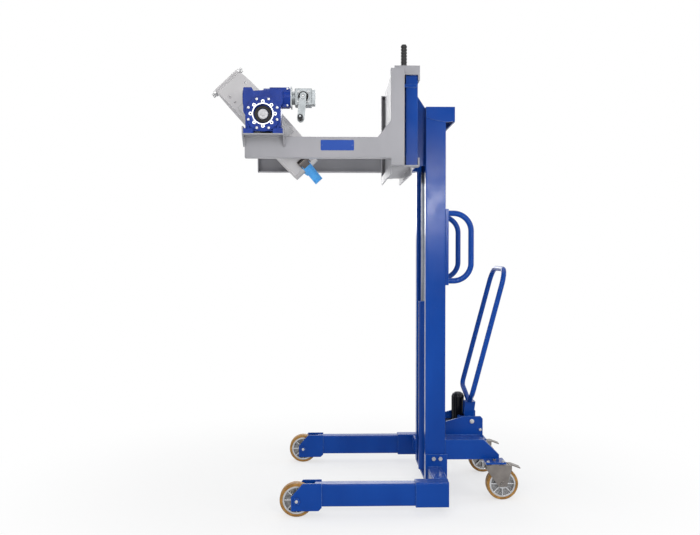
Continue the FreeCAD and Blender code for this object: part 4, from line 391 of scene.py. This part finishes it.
def make_finishes():
    """One finish for each material of the record, and a few for trim."""
    return {
        # Gloss machine enamel, sprayed: deep blue that mirrors the lamps softly.
        # Its pale edge blue is partly rubbed paint and partly a painted highlight along the edges.
        "blue": enamel("gloss_machine_enamel_sprayed", "#083A8A", "#0D4398", "#6B94D6",
                       rough=0.20, shine=0.12),
        # Grey frame enamel, sprayed: flatter, so that the arms shade evenly.
        "grey": enamel("grey_frame_enamel_sprayed", "#959599", "#A1A0A5", "#C6C6C9",
                       rough=0.42, shine=0.20),
        # Powder coat on rolled sheet: paler and a little coarser.
        "pale": enamel("pale_powder_coat_baked", "#C8C6C7", "#D4D2D3", "#E6E5E5",
                       rough=0.46, shine=0.20),
        # Black pump enamel, dipped: thick and glossy.
        "black_paint": enamel("black_pump_enamel_dipped", "#07080C", "#0E1016", "#3A3C44",
                              rough=0.24, shine=0.16),
        "gearblue": gearbox_enamel(),
        # Aluminium, cast and shot blasted: light, dull, pitted about 1 mm across.
        "cast_alu": bare_metal("shot_blasted_cast_aluminium", "#7C8082", "#94989A",
                               rough=0.46, grain=1.2, height=0.05),
        # Mild steel, turned and ground: clean grey with a fine drawn grain.
        "steel": bare_metal("turned_mild_steel", "#88888A", "#9E9EA0",
                            rough=0.42, grain=0.8, height=0.012),
        # Mild steel, shot blasted: dull and even, so that it mirrors nothing.
        "blasted": bare_metal("shot_blasted_mild_steel", "#9C9C9E", "#B2B2B4",
                              rough=0.58, grain=0.9, height=0.03),
        # Zinc plate on pressed steel: grey with a warm cast and soft cloudy gloss.
        "zinc": bare_metal("zinc_plated_pressed_steel", "#726D6A", "#86817D",
                           rough=0.36, grain=1.5, height=0.015),
        # Zinc plate on cold-headed bolts: brighter and cleaner than the pressings.
        "bolt": bare_metal("bright_zinc_plated_bolt_steel", "#A5A5A6", "#C0C0C0",
                           rough=0.40, grain=1.0, height=0.01),
        # Hard chrome on a ground rod, with hairlines round it: its colour is darkened well below real chrome, as
        # painted shade standing in for dark surroundings in its reflection.
        "rod_chrome": bare_metal("ground_hard_chrome_with_painted_shade", "#62666F", "#6E727B",
                                 rough=0.12, grain=0.4, height=0.001,
                                 stretch=(8, 8, 1), drift=0.02),
        "front_core": die_cast_wheel("die_cast_front_wheel_aluminium", abs(FRONT_WHEEL.y)),
        "castor_core": die_cast_wheel("die_cast_castor_wheel_aluminium", abs(CASTOR.y)),
        # Chain steel in oil: dark brown-grey with bright rubbed edges.
        "chain_steel": bare_metal("oiled_chain_steel", "#322F2D", "#4B4744",
                                  rough=0.34, grain=1.0, height=0.02),
        # Black thermoplastic, injection moulded: spark-eroded grain.
        "black_plastic": moulded("injection_moulded_black_plastic", "#111112", "#1C1C1D",
                                 rough=0.48, grain=1.4, height=0.03),
        # Nitrile rubber, pressed: dull black lips.
        "seal": moulded("pressed_nitrile_rubber", "#0A0A0B", "#131314",
                        rough=0.55, grain=1.2, height=0.02),
        "amber_tread": cast_polyurethane(),
        "webbing": woven_webbing(),
        # Polyester sewing thread, twisted: paler than the band that it holds.
        "thread": moulded("twisted_polyester_thread", "#7FB6EA", "#A9CFF2",
                          rough=0.65, grain=1.0, height=0.05),
        # Painted sheet without lettering, riveted on.
        "plate": enamel("painted_blank_plate", "#23479A", "#2C50A4", "#8AA2D6",
                        rough=0.36, shine=0.12),
    }


# New pieces

def piece_from(bm, name, material):
    """Put a finished bmesh into the scene as one piece."""
    bmesh.ops.recalc_face_normals(bm, faces=bm.faces)
    mesh = bpy.data.meshes.new(name)
    bm.to_mesh(mesh)
    bm.free()
    mesh.materials.append(material)
    piece = bpy.data.objects.new(name, mesh)
    bpy.context.scene.collection.objects.link(piece)
    return piece


def smooth(piece, angle):
    """Smooth shading with creases sharper than the angle kept."""
    for face in piece.data.polygons:
        face.use_smooth = True
    piece.data.set_sharp_from_angle(angle=math.radians(angle))


def spin_profile(bm, profile, place, steps=48):
    """Turn a ring or disc from its half section, given as (radius, height) corners in millimetres."""
    corners = [bm.verts.new(place @ Vector((radius * MM, 0, height * MM))) for radius, height in profile]
    edges = [bm.edges.new((corners[i], corners[(i + 1) % len(corners)])) for i in range(len(corners))]
    bmesh.ops.spin(bm, geom=corners + edges, cent=place.to_translation(),
                   axis=place.to_3x3() @ Vector((0, 0, 1)), angle=2 * math.pi, steps=steps, use_merge=True)


def bolt_heads(name, places, facing, material, body, across, height, washer):
    """Hexagon heads with a chamfer, each on its washer, as one piece; sizes in millimetres."""
    bore, rim, chamfer = across * 0.3, across * 0.72, 0.4
    washer_section = [(bore, 0), (rim, 0), (rim, washer - chamfer), (rim - chamfer, washer), (bore, washer)]
    corner = across / math.sqrt(3) * MM
    outward = facing.to_3x3() @ Vector((0, 0, 1))
    bm = bmesh.new()
    for place in places:
        lie = Matrix.Translation(place) @ facing
        spin_profile(bm, washer_section, lie)
        lift = Matrix.Translation((0, 0, (washer + height / 2) * MM))
        head = bmesh.ops.create_cone(bm, cap_ends=True, segments=6, radius1=corner, radius2=corner,
                                     depth=height * MM, matrix=lie @ lift)
        top = {face for vert in head["verts"] for face in vert.link_faces}
        top = [face for face in top if face.normal.dot(outward) > 0.9]
        crown = list({edge for face in top for edge in face.edges})
        bmesh.ops.bevel(bm, geom=crown, offset=across * 0.07 * MM, segments=2, profile=0.5, affect="EDGES",
                        material=-1)
    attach(piece_from(bm, name, material), body)


def socket_screws(name, places, facing, material, body, radius, height):
    """Cap screws with a hexagon socket, as one piece; sizes in millimetres."""
    rim, land, socket, depth = radius * 0.12, radius * 0.3, radius * 0.5, height * 0.7
    outward = facing.to_3x3() @ Vector((0, 0, 1))
    bm = bmesh.new()
    for place in places:
        lie = Matrix.Translation(place) @ facing
        stand = lie @ Matrix.Translation((0, 0, height / 2 * MM))
        head = bmesh.ops.create_cone(bm, cap_ends=True, segments=24, radius1=radius * MM, radius2=radius * MM,
                                     depth=height * MM, matrix=stand)["verts"]
        bm.normal_update()
        top = [face for face in {face for vert in head for face in vert.link_faces}
               if face.normal.dot(outward) > 0.9]
        bmesh.ops.inset_region(bm, faces=top, thickness=rim * MM, depth=0)
        bmesh.ops.inset_region(bm, faces=top, thickness=land * MM, depth=radius * 0.05 * MM)
        # The inner outline becomes a hexagon, and sinks.
        for vert in top[0].verts:
            around = lie.inverted() @ vert.co
            angle = math.atan2(around.y, around.x) % (math.pi / 3) - math.pi / 6
            reach = socket * MM / math.cos(angle) / math.hypot(around.x, around.y)
            vert.co = lie @ Vector((around.x * reach, around.y * reach, around.z))
        sunk = bmesh.ops.extrude_face_region(bm, geom=top)["geom"]
        sunk = [item for item in sunk if isinstance(item, bmesh.types.BMVert)]
        bmesh.ops.delete(bm, geom=top, context="FACES_ONLY")
        bmesh.ops.translate(bm, vec=outward * (-depth * MM), verts=sunk)
    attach(piece_from(bm, name, material), body)


def make_strap(finishes):
    """Webbing from the far plate round the drum's front, back round the buckle, with a free tail."""
    width = 45 * MM
    thickness = 2.4 * MM
    plate_wall, clearance = 6 * MM, 0.3 * MM
    lie_radius = SADDLE["dims"]["r_mm"] * MM + plate_wall + clearance + thickness / 2
    start = math.radians(149)
    arc = math.radians(60.4)
    turn_radius = 1.7 * MM
    tail = 186 * MM
    # Each run is its length, the number of steps and the angle it turns through.
    runs = [
        (arc * lie_radius, 48, arc),
        (math.pi * turn_radius, 8, -math.pi),
        (tail * 0.45, 14, math.radians(-1)),
        (tail * 0.55, 18, math.radians(7)),
    ]
    bm = bmesh.new()
    along = bm.verts.layers.float.new("along")
    at = Vector((math.cos(start), math.sin(start), 0)) * lie_radius
    heading = start + math.pi / 2
    edge = bm.edges.new([bm.verts.new(at + Vector((0, 0, side * width / 2))) for side in (-1, 1)])
    length = 0.0
    for run, steps, turn in runs:
        for _ in range(steps):
            heading += turn / steps / 2
            grown = bmesh.ops.extrude_edge_only(bm, edges=[edge])["geom"]
            heads = [item for item in grown if isinstance(item, bmesh.types.BMVert)]
            edges = [item for item in grown if isinstance(item, bmesh.types.BMEdge)]
            edge = [item for item in edges if set(item.verts) == set(heads)][0]
            step = Vector((math.cos(heading), math.sin(heading), 0)) * (run / steps)
            bmesh.ops.translate(bm, vec=step, verts=heads)
            length += run / steps
            for head in heads:
                head[along] = length
            heading += turn / steps / 2
    lay = bm.loops.layers.uv.new("webbing")
    for face in bm.faces:
        for loop in face.loops:
            loop[lay].uv = (loop.vert[along], loop.vert.co.z)
    bmesh.ops.transform(bm, matrix=CRADLE, verts=bm.verts)
    strap = piece_from(bm, "strap_webbing", finishes["webbing"])
    wall = strap.modifiers.new("thickness", "SOLIDIFY")
    wall.thickness = thickness
    wall.offset = 0
    smooth(strap, 60)
    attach(strap, "cradle")
    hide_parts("strap")

    # The sewn end by the buckle: rows of long stitches along the band.
    bm = bmesh.new()
    stitch = Vector((0.5, 3.2, 0.8)) * MM
    rows, stitches = 5, 10
    sewn_width = width * 0.72
    first, spacing = math.radians(2.2), math.radians(0.95)
    for row in range(rows):
        height = (row / (rows - 1) - 0.5) * sewn_width
        for i in range(stitches):
            angle = start + arc - first - spacing * i
            made = bmesh.ops.create_cube(bm, size=1.0)["verts"]
            place = (Matrix.Rotation(angle, 4, "Z")
                     @ Matrix.Translation((lie_radius + thickness / 2, 0, height))
                     @ Matrix.Diagonal((*stitch, 1)))
            bmesh.ops.transform(bm, matrix=place, verts=made)
    bmesh.ops.transform(bm, matrix=CRADLE, verts=bm.verts)
    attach(piece_from(bm, "strap_stitching", finishes["thread"]), "cradle")


def chain_plate(bm, radius, pitch, thickness, place):
    """One obround link plate, its two ends a pitch apart along Z."""
    verts = []
    for end in (0, pitch):
        lift = Matrix.Translation((0, 0, end)) @ Matrix.Rotation(math.pi / 2, 4, "X")
        verts += bmesh.ops.create_cone(bm, cap_ends=True, segments=10, radius1=radius, radius2=radius,
                                       depth=thickness, matrix=lift)["verts"]
    hull = bmesh.ops.convex_hull(bm, input=verts)
    spare = hull["geom_interior"] + hull["geom_unused"]
    spare = {item for item in spare if isinstance(item, bmesh.types.BMVert)}
    bmesh.ops.delete(bm, geom=list(spare), context="VERTS")
    kept = [vert for vert in verts if vert.is_valid]
    bmesh.ops.transform(bm, matrix=place, verts=kept)


def make_chain(name, node, material):
    """Leaf chain in place of a plain strand: three plates abreast, then three in the gaps, on pins."""
    low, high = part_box(node)
    side = -1 if node == "chain_front" else 1
    depth = 12 * MM
    reach = (high.x - PULLEY.x if side == 1 else PULLEY.x - low.x) - depth / 2
    run_x = PULLEY.x + side * reach
    plate, plate_spacing = 2.5 * MM, 2.6 * MM
    pin_radius, pin_length = 2.6 * MM, 19 * MM
    lacing = [[slot * plate_spacing for slot in slots] for slots in ((-2.5, -0.5, 1.5), (-1.5, 0.5, 2.5))]
    rise = PULLEY.z - low.z
    nominal_pitch = 25.4 * MM
    count = max(3, round(rise / nominal_pitch))
    pitch = rise / count
    # Link feet: up the straight run, then a quarter turn over the pulley.
    feet = [Matrix.Translation((run_x, 0, low.z + pitch * i)) for i in range(count)]
    wrap = 4
    link = reach * math.pi / 2 / wrap
    for i in range(wrap):
        turn = Matrix.Rotation(-side * math.pi / 2 / wrap * (i + 0.5), 4, "Y")
        feet.append(Matrix.Translation(PULLEY) @ turn @ Matrix.Translation((side * reach, 0, -link / 2)))
    bm = bmesh.new()
    for i, foot in enumerate(feet):
        for offset in lacing[i % 2]:
            chain_plate(bm, depth * 0.47, pitch if i < count else link, plate,
                        foot @ Matrix.Translation((0, offset, 0)))
        pin = foot @ Matrix.Rotation(math.pi / 2, 4, "X")
        bmesh.ops.create_cone(bm, cap_ends=True, segments=12, radius1=pin_radius, radius2=pin_radius,
                              depth=pin_length, matrix=pin)
    chain = piece_from(bm, name, material)
    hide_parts(node)
    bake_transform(chain)


def make_seals(finishes):
    """Rubber lip seals: round the pivot shaft in the gearbox recess, and round the crank in the bevel box,
    where the black ring also stands in as painted shade for that recess.
    """
    pivot_seat = Vector((PIVOT.x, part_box("gearbox_housing")[0].y + 19 * MM, PIVOT.z))
    # The crank's black ring fills the bevel box recess: a dark piece put there as painted shade of the recess.
    crank_seat = Vector((CRANK.x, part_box("bevel_gearbox")[0].y + 14 * MM, CRANK.z))
    pivot_lips = [(24.2, 0.2), (38.5, 0.2), (38.5, 5), (36.5, 6), (34, 6), (32, 3.5), (28, 3.5), (26, 5.5),
                  (24.2, 5.5)]
    crank_lips = [(14.8, 0.2), (22.7, 0.2), (22.7, 9), (21.5, 10), (19.5, 10), (18, 8), (16.2, 8),
                  (14.8, 9.5)]
    for name, seat, lips in (("pivot_seal", pivot_seat, pivot_lips), ("crank_seal_as_painted_shade", crank_seat, crank_lips)):
        bm = bmesh.new()
        spin_profile(bm, lips, Matrix.Translation(seat) @ TO_SIDE["near"], steps=64)
        seal = piece_from(bm, name, finishes["seal"])
        smooth(seal, 35)
        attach(seal, "carriage")


def weld_bead(name, start, end, radius, material, body):
    """A rippled fillet weld between two points: rings about every 2.2 mm that swell and shrink."""
    start, end = Vector(start), Vector(end)
    run = end - start
    ripple = 2.2 * MM
    steps = max(6, int(run.length / ripple))
    turn = run.to_track_quat("Z", "Y").to_matrix().to_4x4()
    bm = bmesh.new()
    tip = 0.5
    bmesh.ops.create_circle(bm, cap_ends=True, segments=8, radius=radius * tip)
    faces = list(bm.faces)
    swell = tip
    for i in range(steps):
        faces = bmesh.ops.extrude_discrete_faces(bm, faces=faces)["faces"]
        heads = list({vert for face in faces for vert in face.verts})
        bmesh.ops.translate(bm, vec=(0, 0, run.length / steps), verts=heads)
        target = tip if i == steps - 1 else 1.0 + 0.16 * math.sin(i * 1.9) + 0.10 * math.sin(i * 0.7 + 1)
        centre = Matrix.Translation((0, 0, -run.length / steps * (i + 1)))
        bmesh.ops.scale(bm, vec=(target / swell, target / swell, 1), space=centre, verts=heads)
        swell = target
    bmesh.ops.transform(bm, matrix=Matrix.Translation(start) @ turn, verts=bm.verts)
    bead = piece_from(bm, name, material)
    smooth(bead, 80)
    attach(bead, body)


def make_welds(finishes):
    """Fillet welds in the inner corners of the deck, brackets, outriggers, plinth and hook frame."""
    blue, grey = finishes["blue"], finishes["grey"]
    column_low, column_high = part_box("mast_column_near")
    leg_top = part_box("leg_near")[1].z
    deck_top = LEVER_PIN.z - 68 * MM
    deck_start = column_high.x + 2 * MM
    deck_end = column_high.x + 183 * MM
    bracket_start = column_high.x + 20 * MM
    tube_top = leg_top - 1 * MM
    tube_start = column_low.x + 16 * MM
    tube_end = tube_start + 54 * MM
    for side, sign in SIDES:
        deck_side = -sign * column_high.y
        bracket_side = sign * 108.5 * MM
        sleeve_side = sign * 451 * MM
        runs = {
            "sleeve_weld": ((tube_start, sleeve_side, tube_top), (tube_end, sleeve_side, tube_top)),
            "bracket_weld": ((bracket_start, bracket_side, deck_top), (deck_end, bracket_side, deck_top)),
            "deck_weld": ((deck_start, deck_side, deck_top), (deck_end, deck_side, deck_top)),
        }
        for name, (start, end) in runs.items():
            weld_bead(f"{name}_{side}", start, end, 4.2 * MM, blue, "chassis")
    plinth_low, plinth_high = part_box("gearbox_plinth")
    plinth_corner = (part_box("arm_near")[0].y - 0.5 * MM, plinth_low.z + 47.5 * MM)
    end_gap = 8 * MM
    weld_bead("plinth_weld", (plinth_low.x + end_gap, *plinth_corner),
              (plinth_high.x - end_gap, *plinth_corner), 3 * MM, grey, "carriage")
    hook_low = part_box("hook_frame")[0]
    panel_face = hook_low.x + 20 * MM
    ledge = hook_low.z + 43 * MM
    half_run = 318 * MM
    weld_bead("panel_weld", (panel_face, -half_run, ledge), (panel_face, half_run, ledge), 4 * MM, grey,
              "carriage")


def make_fasteners(finishes):
    """Small zinc fasteners: lever pin heads, bracket studs, castor plate bolts, axle and gearbox screws."""
    zinc = finishes["bolt"]
    for side, sign in SIDES:
        bracket_face = sign * 108.3 * MM
        bolt_heads("lever_pin_head_" + side, [(LEVER_PIN.x, bracket_face, LEVER_PIN.z)], TO_SIDE[side],
                   zinc, "pump_handle_body", across=15, height=6, washer=5.2)
        stud_offset = 42 * MM
        stud = (LEVER_PIN.x + stud_offset, bracket_face, LEVER_PIN.z - stud_offset)
        bolt_heads("bracket_stud_" + side, [stud], TO_SIDE[side], zinc, "chassis",
                   across=10, height=5, washer=1.6)
        swivel = Vector(JOINTS[f"castor_{side}_swivel"]["pos_m"])
        pad_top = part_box("castor_fork_" + side)[1].z - 6 * MM
        corner = 36 * MM
        places = [(swivel.x + x * corner, swivel.y + sign * corner, pad_top) for x in (-1, 1)]
        bolt_heads("castor_plate_bolts_" + side, places, UP, zinc, "chassis",
                   across=13, height=6, washer=1.6)
        # The axle heads are painted over with the legs; only the screw in each of them is bright.
        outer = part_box("front_axles")[1].y
        inner = 2 * abs(FRONT_WHEEL.y) - outer
        places = [(FRONT_WHEEL.x, sign * outer, FRONT_WHEEL.z), (FRONT_WHEEL.x, -sign * inner, FRONT_WHEEL.z)]
        bolt_heads("axle_screws_" + side, places, TO_SIDE[side], zinc, "chassis",
                   across=10, height=4, washer=1.2)

    near = TO_SIDE["near"]
    gear_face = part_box("gearbox_housing")[0].y + 0.4 * MM
    cover_circle = 69 * MM
    angles = [math.pi / 8 * (2 * i + 1) for i in range(8)]
    places = [(PIVOT.x + cover_circle * math.cos(angle), gear_face, PIVOT.z + cover_circle * math.sin(angle))
              for angle in angles]
    socket_screws("gearbox_cover_screws", places, near, zinc, "carriage", radius=5.6, height=4)
    box_low, box_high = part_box("bevel_gearbox")
    flange_face = box_low.y + 17.2 * MM
    places = [(box_low.x - 14 * MM, flange_face, box_high.z - rise * MM) for rise in (7, 81.5)]
    socket_screws("gearbox_neck_screws", places, near, zinc, "carriage", radius=4.4, height=4)
    cover_face = box_low.y + 8.2 * MM
    corner = 22 * MM
    places = [(CRANK.x + x * corner, cover_face, CRANK.z + z * corner) for x in (-1, 1) for z in (-1, 1)]
    socket_screws("bevel_cover_screws", places, near, zinc, "carriage", radius=4.4, height=4)
    hub_seat = (CRANK.x, box_low.y - 19 * MM, CRANK.z)
    bolt_heads("crank_hub_screw", [hub_seat], near, zinc, "crank_body", across=8, height=5, washer=1.2)


def make_blank_plate(finishes):
    """A bare plate without lettering on the near arm, where the photograph has a label."""
    arm_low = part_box("arm_near")[0]
    width, height, thickness = 152 * MM, 48 * MM, 0.8 * MM
    rivet_inset, rivet_foot = 6 * MM, 0.6 * MM
    middle = Vector((arm_low.x + 420 * MM, arm_low.y, arm_low.z + 89 * MM))
    bm = bmesh.new()
    bmesh.ops.create_grid(bm, x_segments=1, y_segments=1, size=0.5)
    bmesh.ops.scale(bm, vec=(width, height, 1), verts=bm.verts)
    bmesh.ops.bevel(bm, geom=list(bm.verts), offset=5 * MM, segments=5, profile=0.5, affect="VERTICES",
                    material=-1)
    raised = bmesh.ops.extrude_face_region(bm, geom=list(bm.faces))["geom"]
    raised = [item for item in raised if isinstance(item, bmesh.types.BMVert)]
    bmesh.ops.translate(bm, vec=(0, 0, thickness), verts=raised)
    for x in (-1, 1):
        rivet = Matrix.Translation((x * (width / 2 - rivet_inset), 0, rivet_foot))
        spin_profile(bm, [(0.05, 0), (2.2, 0), (1.9, 0.8), (1.1, 1.3), (0.05, 1.5)], rivet, steps=16)
    bmesh.ops.transform(bm, matrix=Matrix.Translation(middle) @ TO_SIDE["near"], verts=bm.verts)
    plate = piece_from(bm, "blank_arm_plate", finishes["plate"])
    smooth(plate, 30)
    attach(plate, "carriage")


# Assembly

set_camera()
set_studio()
finishes = make_finishes()
for name, item in frame["nodes"].items():
    item.data.materials.clear()
    item.data.materials.append(finishes[OWN_FINISH.get(name, SLOT_OF[name])])
make_strap(finishes)
make_chain("leaf_chain_rear", "chain_rear", finishes["chain_steel"])
make_chain("leaf_chain_front", "chain_front", finishes["chain_steel"])
make_seals(finishes)
make_welds(finishes)
make_fasteners(finishes)
make_blank_plate(finishes)

bpy.context.scene.view_settings.view_transform = "Standard"
